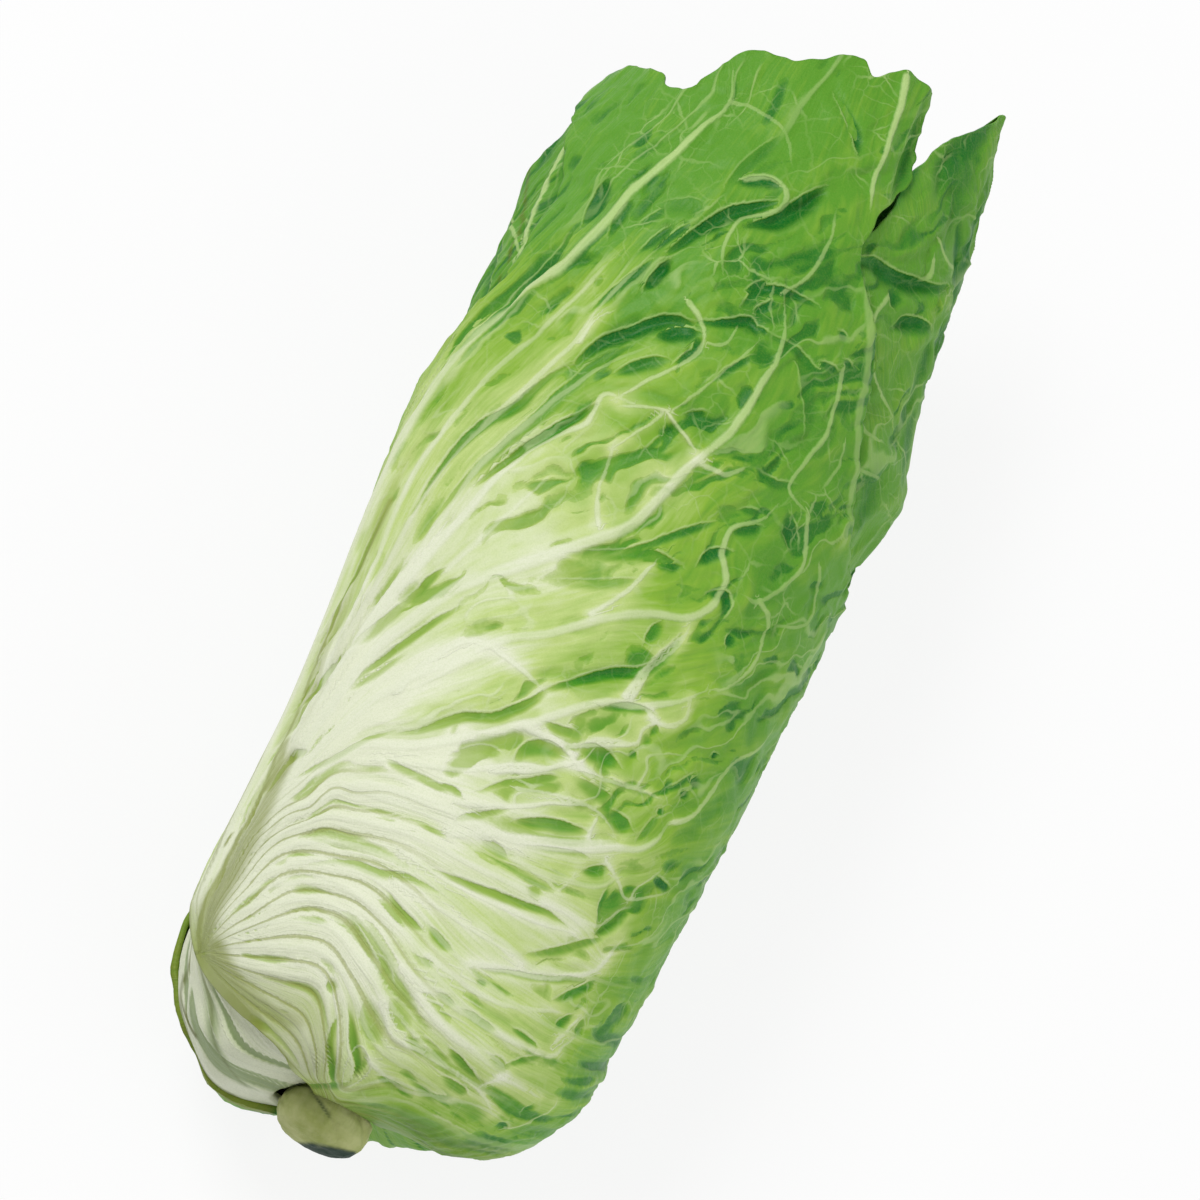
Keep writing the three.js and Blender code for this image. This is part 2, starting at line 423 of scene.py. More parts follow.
@dataclass(frozen=True)
class Sweep:
    """A smooth numbering of the places between ordered veins, so that lines can follow them.

    Each guide is a vein as (reach, turn) points with its number. Between and beyond the
    guides the number follows the smoothest sheet through them.
    """

    guides: tuple[tuple[float, Profile], ...]
    stiffness: float = 30.0
    spacing: float = 14.0

    def knots(self) -> tuple[Array, Array]:
        """Places along the guides, and the number of each."""
        places, numbers = [], []
        for number, points in self.guides:
            for start, end in zip(points, points[1:]):
                steps = max(1, round(math.dist(start, end) / self.spacing))
                for step in range(steps):
                    share = step / steps
                    places.append([a + (b - a) * share for a, b in zip(start, end)])
                    numbers.append(number)
            places.append(list(points[-1]))
            numbers.append(number)
        return np.array(places, float), np.array(numbers, float)

    @staticmethod
    def sheet(places: Array, knots: Array) -> Array:
        """The bending of a thin sheet at places, for a unit load on each knot."""
        square = ((places[:, None, :] - knots[None, :, :]) ** 2).sum(axis=2) / 1e4
        return square * np.log(square + 1e-9)

    def numbers(self, reach: Array, turn: Array) -> Array:
        """The number at each place.

        Args:
            reach: distance from the stump towards the tips.
            turn: angle round the head in degrees.

        Returns:
            The numbers, which run smoothly from each guide to the next.
        """
        knots, values = self.knots()
        count = len(knots)
        plane = np.column_stack([np.ones(count), knots / 100.0])
        system = np.zeros((count + 3, count + 3))
        system[:count, :count] = self.sheet(knots, knots) + np.eye(count) * self.stiffness * 1e-4
        system[:count, count:] = plane
        system[count:, :count] = plane.T
        loads = np.linalg.solve(system, np.concatenate([values, np.zeros(3)]))
        result = np.empty(len(reach))
        for start in range(0, len(reach), SHEET_PART):
            part = slice(start, start + SHEET_PART)
            places = np.column_stack([reach[part], turn[part]])
            bent = self.sheet(places, knots) @ loads[:count]
            flat = np.column_stack([np.ones(len(places)), places / 100.0]) @ loads[count:]
            result[part] = bent + flat
        return result


TOWARDS_LIGHT = np.array((-0.86, 0.51, 0.0))


@dataclass
class Blade:
    """The places of a leaf's grid, and what is painted and raised there."""

    across: Array
    along: Array
    reach: Array
    turn: Array
    depth: Array
    rest: Array
    outer: Array
    girth: Array
    relief: Array = field(init=False)
    rib: Array = field(init=False)
    net: Array = field(init=False)
    blanch: Array = field(init=False)
    hollow: Array = field(init=False)
    stain: Array = field(init=False)
    shade: Array = field(init=False)
    inside: Array = field(init=False)
    calm: Array = field(init=False)
    claim: Array = field(init=False)
    outward: Array = field(init=False)
    loose: Array = field(init=False)
    wavering: Array = field(init=False)
    flow: Array = field(init=False)
    veined: Array = field(init=False)
    vein: Array = field(init=False)
    vein_gap: Array = field(init=False)
    dip: Array = field(init=False)
    dip_edge: Array = field(init=False)
    fold: Array = field(init=False)
    fan: Array = field(init=False)

    def __post_init__(self) -> None:
        """Starts every layer empty."""
        count = len(self.reach)
        for name in (
            "relief", "rib", "net", "blanch", "hollow", "stain", "shade", "inside", "veined",
            "dip", "dip_edge", "loose",
        ):
            setattr(self, name, np.zeros(count))
        self.calm = np.ones(count)
        x, y = self.turn * MM_PER_DEGREE, self.reach
        size, height = 11.0, 0.8
        waver = [noise(x / size, y / size, seed, 3) for seed in (801, 811, 821)]
        self.wavering = self.outer + height * np.stack(waver, axis=1)
        self.flow = np.zeros((count, 2))
        self.vein = np.tile(NO_VEIN, (count, 1))
        self.vein_gap = np.full(count, NO_VEIN[0])
        self.fold = np.tile(NO_FOLD, (count, 1))
        self.fan = np.zeros((count, 2))
        self.claim = np.zeros(count)
        angle = np.radians(self.turn)
        self.outward = np.stack([np.sin(angle), np.full(count, -0.3), np.cos(angle)], axis=1)

    def trace(self, route: Route, form: HeadForm) -> tuple[Array, Array, Array, Array, Array]:
        """Reads a route over the blade.

        Args:
            route: the route.
            form: the head's form.

        Returns:
            The distance, share of length, side, half-width and strength at each place.
        """
        distance, share, side = distance_along(self.wavering, self.outward, route.line(form))
        width = route.width[0] + (route.width[1] - route.width[0]) * share
        strength = route.strength[0] + (route.strength[1] - route.strength[0]) * share
        return distance, share, side, width, strength

    def raise_rib(self, route: Route, form: HeadForm) -> Array:
        """Raises one rib and draws it, for the skin to whiten.

        Args:
            route: the rib's route.
            form: the head's form.

        Returns:
            The distance from the rib at each place.
        """
        distance, share, side, width, strength = self.trace(route, form)
        end = smoothstep(1.0 - share, -0.04, 0.2)
        wide = width * (0.4 + 0.6 * end)
        tone = strength * (0.25 + 0.75 * end)
        crest = 1.0 - smoothstep(distance, wide - 0.9, wide + 0.9)
        self.veined = np.maximum(self.veined, tone * crest)
        body = bell(distance, np.maximum(1.7 * width, 1.7))
        self.relief = self.relief + route.height * strength * end * body
        closer = distance - wide < self.vein_gap - self.vein[:, 1]
        drawn = np.stack([side * distance, wide, tone], axis=1)
        self.vein = np.where(closer[:, None], drawn, self.vein)
        self.vein_gap = np.where(closer, distance, self.vein_gap)
        return distance

    def press_hollow(self, route: Route, form: HeadForm) -> None:
        """Presses in one hollow and paints shade in it: the painted shade is steep on the side
        towards the light, soft on the other.
        """
        distance, share, side, width, strength = self.trace(route, form)
        ends = smoothstep(share, -0.08, 0.4) * smoothstep(1.0 - share, -0.08, 0.35)
        wide = width * (0.3 + 0.8 * ends)
        line = route.line(form)
        middle = line[len(line) // 2] - np.array(form.axis_start)
        left = np.cross((middle[0], 0.0, middle[2]), line[-1] - line[0])
        past = distance * side * (-1.0 if left @ TOWARDS_LIGHT > 0 else 1.0)
        # hollow, dip and dip_edge paint shade: soft where the hollow is wide, with a sharp edge
        # where it is narrow.
        soft = smoothstep(width, 2.0, 3.2)
        near = strength * bell(distance, np.maximum(wide, 1.0))
        self.hollow = np.maximum(self.hollow, ends**0.4 * near * (0.25 + 0.75 * soft))
        glow = ends * strength * bell(distance, 2.4 * width)
        self.relief = self.relief + route.height * (ends**0.4 * near + 0.6 * glow)
        tone = ends**0.4 * strength * (1.0 - soft)
        claim = tone * (1.0 - distance / (2.6 * wide + 1.0))
        closer = claim > self.claim
        tail = 1.0 - smoothstep(past, 0.2 * wide, 2.1 * wide + 0.4)
        body = tone * tail * smoothstep(past + wide, -2.0, -1.0)
        self.claim = np.where(closer, claim, self.claim)
        self.dip = np.where(closer, body, self.dip)
        self.dip_edge = np.where(closer, np.clip(0.5 + 0.5 * (past + wide), 0, 1), self.dip_edge)

    def soil(self, route: Route, form: HeadForm) -> None:
        """Stains the blade brown along one route."""
        distance, _, _, width, strength = self.trace(route, form)
        self.stain = np.maximum(self.stain, strength * (1 - smoothstep(distance / width, 0.4, 1.3)))


# ---------------------------------------------------------------- finishes


def colour(code: str) -> tuple[float, float, float, float]:
    """A colour written as #RRGGBB, as the linear numbers that a shader takes."""
    channels = [int(code[index : index + 2], 16) / 255.0 for index in (1, 3, 5)]
    linear = [c / 12.92 if c <= 0.04045 else ((c + 0.055) / 1.055) ** 2.4 for c in channels]
    return (linear[0], linear[1], linear[2], 1.0)


class Graph:
    """A material's node tree, built one node at a time."""

    def __init__(self, name: str) -> None:
        """Starts an empty tree with its output node.

        Args:
            name: the material's name.
        """
        self.material = bpy.data.materials.new(name)
        self.material.use_nodes = True
        self.tree = self.material.node_tree
        self.tree.nodes.clear()
        self.output = self.tree.nodes.new("ShaderNodeOutputMaterial")

    def node(self, kind: str, settings: dict | None = None, **inputs: object) -> bpy.types.Node:
        """Adds a node.

        Args:
            kind: the node's type, without the leading ShaderNode.
            settings: its own settings.
            inputs: what each socket holds, or the socket that feeds it. An underscore
                in a name stands for a space, and a name such as _0 for a socket's number.

        Returns:
            The node.
        """
        made = self.tree.nodes.new("ShaderNode" + kind)
        for key, value in (settings or {}).items():
            setattr(made, key, value)
        for key, value in inputs.items():
            numbered = key[0] == "_" and key[1:].isdigit()
            socket = made.inputs[int(key[1:])] if numbered else made.inputs[key.replace("_", " ")]
            if isinstance(value, Socket):
                self.tree.links.new(value, socket)
            else:
                socket.default_value = value
        return made

    def attribute(self, name: str) -> Socket:
        """A number painted on the mesh."""
        return self.node("Attribute", {"attribute_name": name}).outputs["Fac"]

    def vector(self, name: str) -> Socket:
        """Coordinates painted on the mesh."""
        return self.node("Attribute", {"attribute_name": name}).outputs["Vector"]

    def parts(self, name: str) -> list[Socket]:
        """The three numbers of coordinates painted on the mesh."""
        return list(self.node("SeparateXYZ", Vector=self.vector(name)).outputs)

    def math(self, operation: str, *values: object, clamp: bool = False) -> Socket:
        """A calculation with one to three numbers or sockets."""
        inputs = {f"_{index}": value for index, value in enumerate(values)}
        settings = {"operation": operation, "use_clamp": clamp}
        return self.node("Math", settings, **inputs).outputs[0]

    def times(self, first: object, second: object) -> Socket:
        """The product of two numbers or sockets."""
        return self.math("MULTIPLY", first, second)

    def scaled(self, value: object, factor: object, offset: object) -> Socket:
        """A number or socket times a factor, plus an offset."""
        return self.math("MULTIPLY_ADD", value, factor, offset)

    def ease(self, value: Socket, low: float, high: float) -> Socket:
        """Eases a number from 0 at low to 1 at high."""
        settings = {"interpolation_type": "SMOOTHSTEP"}
        node = self.node("MapRange", settings, Value=value, From_Min=low, From_Max=high)
        return node.outputs[0]

    def drop(self, value: Socket, low: float, high: float) -> Socket:
        """Eases a number from 1 at low to 0 at high."""
        return self.math("SUBTRACT", 1.0, self.ease(value, low, high))

    def largest(self, *values: Socket) -> Socket:
        """The largest of several numbers."""
        result = values[0]
        for value in values[1:]:
            result = self.math("MAXIMUM", result, value)
        return result

    def ramp(self, value: Socket, *stops: tuple[float, str]) -> Socket:
        """Colours along a number, from (place, colour) stops."""
        node = self.node("ValToRGB", Fac=value)
        elements = node.color_ramp.elements
        elements[0].position, elements[1].position = stops[0][0], stops[-1][0]
        elements[0].color, elements[1].color = colour(stops[0][1]), colour(stops[-1][1])
        for place, code in stops[1:-1]:
            elements.new(place).color = colour(code)
        return node.outputs["Color"]

    def mix(self, share: object, first: object, second: object) -> Socket:
        """A blend of two colours, each a colour code or a socket."""
        node = self.node("Mix", {"data_type": "RGBA"})
        for place, value in ((0, share), (6, first), (7, second)):
            if isinstance(value, Socket):
                self.tree.links.new(value, node.inputs[place])
            else:
                node.inputs[place].default_value = colour(value) if isinstance(value, str) else value
        return node.outputs[2]

    def grain(self, where: Socket, scale: float, detail: float = 3.0) -> Socket:
        """Noise between 0 and 1, with about scale bumps a metre."""
        settings = {"noise_dimensions": "3D"}
        return self.node("TexNoise", settings, Vector=where, Scale=scale, Detail=detail).outputs[0]

    def stretched(self, where: Socket, size: tuple[float, float, float]) -> Socket:
        """Coordinates stretched along each axis."""
        return self.node("Mapping", Vector=where, Scale=size).outputs[0]

    def finish(self, shader: bpy.types.Node) -> bpy.types.Material:
        """Joins the shader to the output and returns the material."""
        self.tree.links.new(shader.outputs[0], self.output.inputs["Surface"])
        return self.material


@dataclass(frozen=True)
class LeafFinish:
    """The skin of a leaf: a blade between green and blanched, pale ribs, painted shade in its
    hollows, and painted highlights on the lips of hollows and the crests of folds.
    """

    name: str
    fresh: str = "#5B9A2A"
    mid: str = "#8AB53A"
    pale: str = "#C1D583"
    cream: str = "#E7EBD0"
    # deep, deep_mid, deep_pale and deep_cream are the painted shade colours of hollows, creases,
    # pits and the shade under other leaves' margins.
    deep: str = "#0A6C1E"
    deep_mid: str = "#3E8E1E"
    deep_pale: str = "#8FB145"
    deep_cream: str = "#B4C67C"
    rib: str = "#C0DA8E"
    rib_mid: str = "#CFDDA8"
    rib_cream: str = "#E6EAD2"
    stain: str = "#858F36"
    lined: str = "#969F4A"
    roughness: float = 0.46
    gloss: float = 0.2
    streak_size: tuple[float, float, float] = (45.0, 420.0, 1.0)
    fibre_size: tuple[float, float, float] = (110.0, 1500.0, 1.0)
    mottle_scale: float = 85.0
    fleck_scale: float = 900.0
    grit_scale: float = 2200.0
    grit_share: float = 0.13
    bump_strength: float = 0.55
    bump_height: float = 0.0007

    def veins(self, g: Graph, ragged: Socket) -> Socket:
        """Draws the veins with clear, slightly ragged edges."""
        side, width, tone = g.parts("vein")
        away = g.scaled(ragged, 0.55, g.math("ABSOLUTE", side))
        body = g.drop(g.math("DIVIDE", away, width), 0.45, 1.25)
        near = g.drop(g.math("SUBTRACT", g.attribute("vein_gap"), width), 0.8, 1.5)
        return g.times(g.times(body, near), tone)

    def hollows(self, g: Graph, ragged: Socket) -> tuple[Socket, Socket]:
        """Draws the painted shade of the hollows and pits, and the painted highlight on the lips
        above their steep sides.
        """
        edge = g.scaled(ragged, 0.25, g.attribute("dip_edge"))
        dip = g.times(g.ease(edge, 0.36, 0.6), g.attribute("dip"))
        pit = g.scaled(ragged, 0.25, g.parts("fold")[2])
        deeper = g.scaled(g.ease(pit, 0.1, 0.5), 0.35, 0.3)
        small = g.times(g.ease(pit, 0.02, 0.14), deeper)
        lip_highlight = g.times(g.ease(edge, 0.02, 0.25), g.drop(edge, 0.3, 0.48))
        lip_highlight = g.times(lip_highlight, g.attribute("dip"))
        return g.largest(g.attribute("hollow"), dip, small), lip_highlight

    def crest_highlights(self, g: Graph, ragged: Socket) -> Socket:
        """Draws the painted highlights along the crests between the folds."""
        level, shown, _ = g.parts("fold")
        away = g.scaled(ragged, 0.05, g.math("ABSOLUTE", level))
        return g.times(g.drop(away, 0.02, 0.09), shown)

    def threads(self, g: Graph) -> Socket:
        """Draws the net of thin veins."""
        spread = g.vector("spread")
        sway = g.node("TexNoise", Vector=spread, Scale=90.0, Detail=4.0).outputs["Color"]
        amount = (0.009, 0.009, 0.0)
        swayed = g.node("VectorMath", {"operation": "MULTIPLY_ADD"}, _0=sway, _1=amount, _2=spread)
        total = None
        for scale, half, share in ((72.0, 0.04, 1.0), (165.0, 0.06, 0.5)):
            settings = {"feature": "DISTANCE_TO_EDGE", "voronoi_dimensions": "2D"}
            walls = g.node("TexVoronoi", settings, Vector=swayed.outputs[0], Scale=scale)
            thread = g.times(g.drop(walls.outputs["Distance"], 0.01, half), share)
            total = thread if total is None else g.largest(total, thread)
        patchy = g.ease(g.grain(spread, 60.0, 2.0), 0.35, 0.65)
        return g.times(g.times(total, patchy), g.attribute("net"))

    def fan(self, g: Graph, ragged: Socket) -> Socket:
        """Draws the fine lines that spread from the root of a fan of veins."""
        number, near, _ = g.parts("fan")
        between = g.math("ABSOLUTE", g.math("SUBTRACT", g.math("FRACT", number), 0.5))
        away = g.scaled(ragged, 0.15, between)
        return g.times(g.drop(away, 0.02, 0.13), near)

    def material(self) -> bpy.types.Material:
        """Makes the material.

        Returns:
            A material that reads the layers painted on a leaf.
        """
        g = Graph(self.name)
        place = g.node("TexCoord").outputs["Object"]
        flow = g.vector("flow")
        streaks = g.grain(g.stretched(flow, self.streak_size), 1.0, 4.0)
        fibre = g.grain(g.stretched(flow, self.fibre_size), 1.0, 2.0)
        mottle = g.grain(place, self.mottle_scale, 4.0)
        fleck = g.grain(place, self.fleck_scale, 3.0)
        ragged = g.math("SUBTRACT", g.scaled(fibre, 0.9, fleck), 0.95)
        vein = self.veins(g, ragged)
        hollow, lip_highlight = self.hollows(g, ragged)
        crest, thread, line = self.crest_highlights(g, ragged), self.threads(g), self.fan(g, ragged)
        uneven = g.scaled(streaks, 0.36, -0.18)
        for layer, swing in ((fibre, 0.3), (mottle, 0.18), (g.attribute("shade"), 0.24)):
            uneven = g.math("ADD", uneven, g.scaled(layer, swing, -swing / 2))
        # sunk_shade is painted shade in hollows, pits and creases, with random streaks; it also
        # sinks the bump.
        sunk_shade = g.math("ADD", hollow, g.scaled(streaks, 0.3, -0.15), clamp=True)
        blanch = g.math("ADD", g.attribute("blanch"), uneven, clamp=True)
        blanch = g.math("MULTIPLY_ADD", sunk_shade, -0.3, blanch, clamp=True)
        skin = g.ramp(
            blanch, (0.0, self.fresh), (0.28, self.mid), (0.6, self.pale), (0.95, self.cream)
        )
        # The painted shade colours.
        shade = g.ramp(
            blanch, (0.0, self.deep), (0.24, self.deep_mid), (0.6, self.deep_pale),
            (0.95, self.deep_cream),
        )
        light = g.ramp(blanch, (0.0, self.rib), (0.3, self.rib_mid), (0.75, self.rib_cream))
        skin = g.mix(g.ease(sunk_shade, 0.05, 0.9), skin, shade)
        # Pale veins, ribs and threads in their own colour, and painted highlights on the lips and
        # crests.
        faint = g.largest(
            g.times(lip_highlight, 0.5), g.times(crest, 0.6), g.times(thread, 0.42),
            g.times(g.ease(g.attribute("rib"), 0.1, 0.9), 0.8), g.times(vein, 0.92),
        )
        skin = g.mix(faint, skin, light)
        soiled = g.times(g.attribute("stain"), g.scaled(streaks, 1.0, 0.4))
        skin = g.mix(g.times(line, 0.6), skin, self.lined)
        skin = g.mix(g.math("MINIMUM", soiled, 0.85), skin, self.stain)
        grit = g.ease(g.grain(place, self.grit_scale, 1.0), 0.35, 0.75)
        skin = g.mix(g.times(grit, self.grit_share), skin, self.deep_pale)
        height = g.times(streaks, 0.9)
        for layer, rise in (
            (fibre, 0.5), (fleck, 0.25), (mottle, 0.6), (faint, 0.7), (sunk_shade, -0.9), (line, -0.4),
        ):
            height = g.scaled(layer, rise, height)
        bump = g.node(
            "Bump", Strength=self.bump_strength, Distance=self.bump_height, Height=height
        )
        worn = g.scaled(mottle, 0.16, self.roughness - 0.08)
        shader = g.node("BsdfPrincipled", Base_Color=skin, Roughness=worn, Normal=bump.outputs[0])
        shader.inputs["Specular IOR Level"].default_value = self.gloss
        return g.finish(shader)


@dataclass(frozen=True)
class StumpFinish:
    """The cut root crown: cream-olive flesh with brown blotches and scars, painted shade on its
    underside, and a ring of vessels.
    """

    name: str = "cut_root_crown"
    flesh: str = "#B7BC80"
    cut: str = "#9AA45A"
    strands: str = "#8F9A4E"
    browned_and_shaded: str = "#20382A"
    roughness: float = 0.6
    gloss: float = 0.15
    fibre_size: tuple[float, float, float] = (900.0, 120.0, 900.0)
    blotch_scale: float = 160.0
    bump_strength: float = 0.5
    bump_height: float = 0.0008

    def material(self) -> bpy.types.Material:
        """Makes the material, which reads the stain layer on the stump: real stains and painted
        shade.
        """
        g = Graph(self.name)
        place = g.node("TexCoord").outputs["Object"]
        fibre = g.grain(g.stretched(place, self.fibre_size), 1.0, 4.0)
        blotch = g.grain(place, self.blotch_scale, 4.0)
        skin = g.mix(g.ease(blotch, 0.3, 0.75), self.flesh, self.cut)
        skin = g.mix(g.times(g.ease(fibre, 0.5, 0.85), 0.3), skin, self.strands)
        # The stain layer takes the dark colour both for brown blotches and scars and for painted
        # shade.
        browned_and_shaded = g.math("ADD", g.attribute("stain"), g.scaled(blotch, 0.5, -0.25))
        skin = g.mix(g.ease(browned_and_shaded, 0.25, 0.9), skin, self.browned_and_shaded)
        height = g.scaled(fibre, 0.7, blotch)
        bump = g.node(
            "Bump", Strength=self.bump_strength, Distance=self.bump_height, Height=height
        )
        shader = g.node("BsdfPrincipled", Base_Color=skin, Normal=bump.outputs[0])
        shader.inputs["Roughness"].default_value = self.roughness
        shader.inputs["Specular IOR Level"].default_value = self.gloss
        return g.finish(shader)


@dataclass(frozen=True)
class FloorFinish:
    """A plain white floor that shows white to the camera and keeps a soft shadow."""

    name: str = "studio_floor"
    tone: str = "#F4F4F4"
    glow: float = 0.86

    def material(self) -> bpy.types.Material:
        """Makes the material."""
        g = Graph(self.name)
        paths = g.node("LightPath").outputs
        seen = g.math("MAXIMUM", paths["Is Camera Ray"], paths["Is Glossy Ray"])
        matt = g.node("BsdfDiffuse", Color=colour(self.tone))
        bright = g.node("Emission", Color=(1.0, 1.0, 1.0, 1.0), Strength=1.0)
        share = g.times(seen, self.glow)
        blend = g.node("MixShader", _0=share, _1=matt.outputs[0], _2=bright.outputs[0])
        return g.finish(blend)


# ---------------------------------------------------------------- leaves


def shaped_mesh(name: str, points: Array, grid: bpy.types.Mesh) -> bpy.types.Mesh:
    """Moves a mesh's vertices to points in millimetres and shades it smooth.

    Args:
        name: the mesh's new name.
        points: one point for each vertex.
        grid: the mesh.

    Returns:
        The same mesh.
    """
    grid.name = name
    grid.vertices.foreach_set("co", (points * MM).astype(np.float32).ravel())
    grid.polygons.foreach_set("use_smooth", [True] * len(grid.polygons))
    grid.update()
    return grid


def paint(mesh: bpy.types.Mesh, name: str, values: Array) -> None:
    """Paints a number, or two or three numbers, on each vertex.

    Args:
        mesh: the mesh.
        name: the layer's name.
        values: what each vertex gets.
    """
    if values.ndim == 1:
        layer = mesh.attributes.new(name, "FLOAT", "POINT")
        layer.data.foreach_set("value", values.astype(np.float32))
    else:
        layer = mesh.attributes.new(name, "FLOAT_VECTOR", "POINT")
        padded = np.zeros((len(values), 3))
        padded[:, : values.shape[1]] = values
        layer.data.foreach_set("vector", padded.astype(np.float32).ravel())


def vertex_places(mesh: bpy.types.Mesh) -> Array:
    """The mesh's vertices as an array of points."""
    places = np.empty(len(mesh.vertices) * 3, np.float32)
    mesh.vertices.foreach_get("co", places)
    return places.reshape(-1, 3).astype(float)


def add_piece(name: str, mesh: bpy.types.Mesh, node: str) -> bpy.types.Object:
    """Adds a finished piece, which rides with the head and replaces a CAD node.

    Args:
        name: the piece's name.
        mesh: its mesh.
        node: the CAD node that it stands for.

    Returns:
        The piece.
    """
    piece = bpy.data.objects.new(name, mesh)
    bpy.context.scene.collection.objects.link(piece)
    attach(piece, "root")
    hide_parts(node)
    return piece


FLOOR_GAP = 0.05
# hollow, dip, dip_edge and the pit in fold carry painted shade; shade and the crests in fold carry
# painted light and shade over the folds.
LAYERS = (
    "rib", "net", "blanch", "hollow", "stain", "shade", "vein", "vein_gap", "dip", "dip_edge",
    "fold", "fan",
)


@dataclass(frozen=True)
class Swelling:
    """A soft rise on a leaf, or a dip where height is negative."""

    reach: float
    turn: float
    long: float
    wide: float
    height: float


@dataclass
class Leaf:
    """A leaf: its outline, how it nests, and how finely it is made.

    midrib is the rib's route as (reach, turn), rib_width its half-width and rib_height
    its height, both by reach. slope is how far a side vein climbs for each millimetre
    that it runs outwards. The outer face turns in round every margin, where its inner
    face is made too, thickness below it.
    """

    name: str
    node: str
    slot: str
    outline: Outline
    covering: list[Outline]
    inner: int
    midrib: Profile
    columns: int
    rows: int
    seed: int
    rib_width: Profile = ((0, 9.0), (60, 7.0), (160, 4.0), (260, 1.8), (330, 0.8))
    rib_height: Profile = ((0, 1.2), (40, 2.0), (100, 2.0), (220, 1.1), (330, 0.4))
    thickness: Profile = ((0, 2.7), (20, 2.6), (50, 1.5), (110, 0.8), (350, 0.6))
    turned_in: tuple[float, ...] = (0.07, 0.02, 0.0)
    centred: float = 0.0
    vein_gap: float = 21.0
    vein_strength: float = 1.0
    slope: float = 1.15
    cell_size: Span = (15.0, 10.0)
    blister: float = 0.6
    frill: float = 1.5
    blanch_reach: Span = (40.0, 210.0)
    blanch_least: float = 0.0
    dark_tip: float = 0.0
    coarse: float = 1.0
    loose: float = 0.0
    ribs: tuple[Route, ...] = ()
    creases: tuple[Route, ...] = ()
    stains: tuple[Route, ...] = ()
    swellings: tuple[Swelling, ...] = ()

    def grid(self) -> bpy.types.Mesh:
        """Makes the flat grid that is bent into the leaf."""
        flat = bmesh.new()
        extra = 2 * len(self.turned_in)
        bmesh.ops.create_grid(
            flat, x_segments=self.columns + extra, y_segments=self.rows + extra, size=0.5
        )
        mesh = bpy.data.meshes.new(self.name)
        flat.to_mesh(mesh)
        flat.free()
        return mesh

    def unroll(self, place: Array, steps: int) -> tuple[Array, Array]:
        """Reads one direction of the grid: the outer face between two turned-in margins.

        Args:
            place: grid places from 0 to 1.
            steps: how many steps the outer face has.

        Returns:
            The share of the leaf's width or length, and whether the place is inside.
        """
        extra = len(self.turned_in)
        index = np.round(place * (steps + 2 * extra)).astype(int) - extra
        before = np.clip(index + extra, 0, extra - 1)
        after = np.clip(extra - (index - steps), 0, extra - 1)
        band = np.array(self.turned_in)
        share = np.clip(index / steps, 0.0, 1.0)
        share = np.where(index < 0, band[before], share)
        share = np.where(index > steps, 1.0 - band[after], share)
        return share, (index < 0) | (index > steps)

    def blade(self, mesh: bpy.types.Mesh, form: HeadForm, nesting: Nesting) -> Blade:
        """Finds where each vertex of the grid lies on the head.

        Args:
            mesh: the flat grid.
            form: the head's form.
            nesting: how deep the leaves lie.

        Returns:
            The leaf's blade, with nothing raised or painted yet.
        """
        places = vertex_places(mesh) + 0.5
        across, inside_across = self.unroll(places[:, 0], self.columns)
        along, inside_along = self.unroll(places[:, 1], self.rows)
        across = across + self.centred * np.sin(2 * math.pi * across) / (2 * math.pi)
        reach, turn = self.outline.place(across, along)
        side = np.where(across < 0.5, -1.0, 1.0)
        rim = smoothstep(np.abs(across - 0.5), 0.42, 0.5) * smoothstep(along, 0.3, 0.9)
        jag = noise(side, reach / 9, self.seed) + 0.5 * noise(side, reach / 3.4, self.seed + 1)
        turn = turn + 1.0 * side * rim * jag
        notch = noise(turn / 7, along * 0, self.seed + 3, 2)
        reach = reach + 1.3 * smoothstep(along, 0.93, 1.0) * notch
        depth = nesting.depth(self.covering, self.inner, reach, turn)
        rest = form.surface(reach, turn, depth)
        outer = form.surface(reach, turn, np.zeros_like(depth))
        blade = Blade(across, along, reach, turn, depth, rest, outer, form.girth(reach))
        blade.inside = (inside_across | inside_along).astype(float)
        return blade

    def edge_distance(self, b: Blade) -> Array:
        """The distance of each place from the nearest margin, the base end apart."""
        low = profile_at(self.outline.low, b.reach)
        high = profile_at(self.outline.high, b.reach)
        side = (high - low) * np.minimum(b.across, 1 - b.across) * b.girth
        top = (1 - b.along) * (profile_at(self.outline.tip, b.across) - self.outline.start)
        return np.minimum(side, top)

    def flow_from_midrib(self, b: Blade) -> None:
        """Lays the leaf's own coordinates: out along the side veins, and across them."""
        offset = turn_from(b.turn, profile_at(self.midrib, b.reach)) * b.girth
        out = np.abs(offset)
        lead = self.slope * out + 0.005 * out**2
        warp = 4.0 * noise(offset / 26, b.reach / 30, self.seed + 5)
        b.flow = np.column_stack([offset, b.reach - lead + warp])

    def side_veins(self, b: Blade) -> None:
        """Raises the midrib and the side veins that leave it in pairs."""
        offset, level = b.flow.T
        out = np.abs(offset)
        width = profile_at(self.rib_width, b.reach)
        middle = bell(out, width)
        b.rib = np.maximum(b.rib, 0.9 * smoothstep(middle, 0.1, 0.7))
        b.relief += profile_at(self.rib_height, b.reach) * bell(out, 1.3 * width)
        for gap, strength, half, reach_out in ((1.0, 0.8, 1.3, 70.0), (0.36, 0.3, 0.8, 50.0)):
            spacing = self.vein_gap * gap
            step = level / spacing + 0.5 * (offset > 0)
            jitter = 0.25 * (lattice(np.round(step), np.sign(offset), self.seed + 9) - 0.5)
            away = np.abs(step + jitter - np.round(step)) * spacing * 0.66
            fade = np.clip(1.0 - out / reach_out, 0.0, 1.0) * smoothstep(level, 20, 60)
            vein = strength * self.vein_strength * fade**0.7 * bell(away, half * (0.6 + 0.9 * fade))
            b.rib = np.maximum(b.rib, vein)
            b.relief += 0.8 * vein * (0.4 + fade)

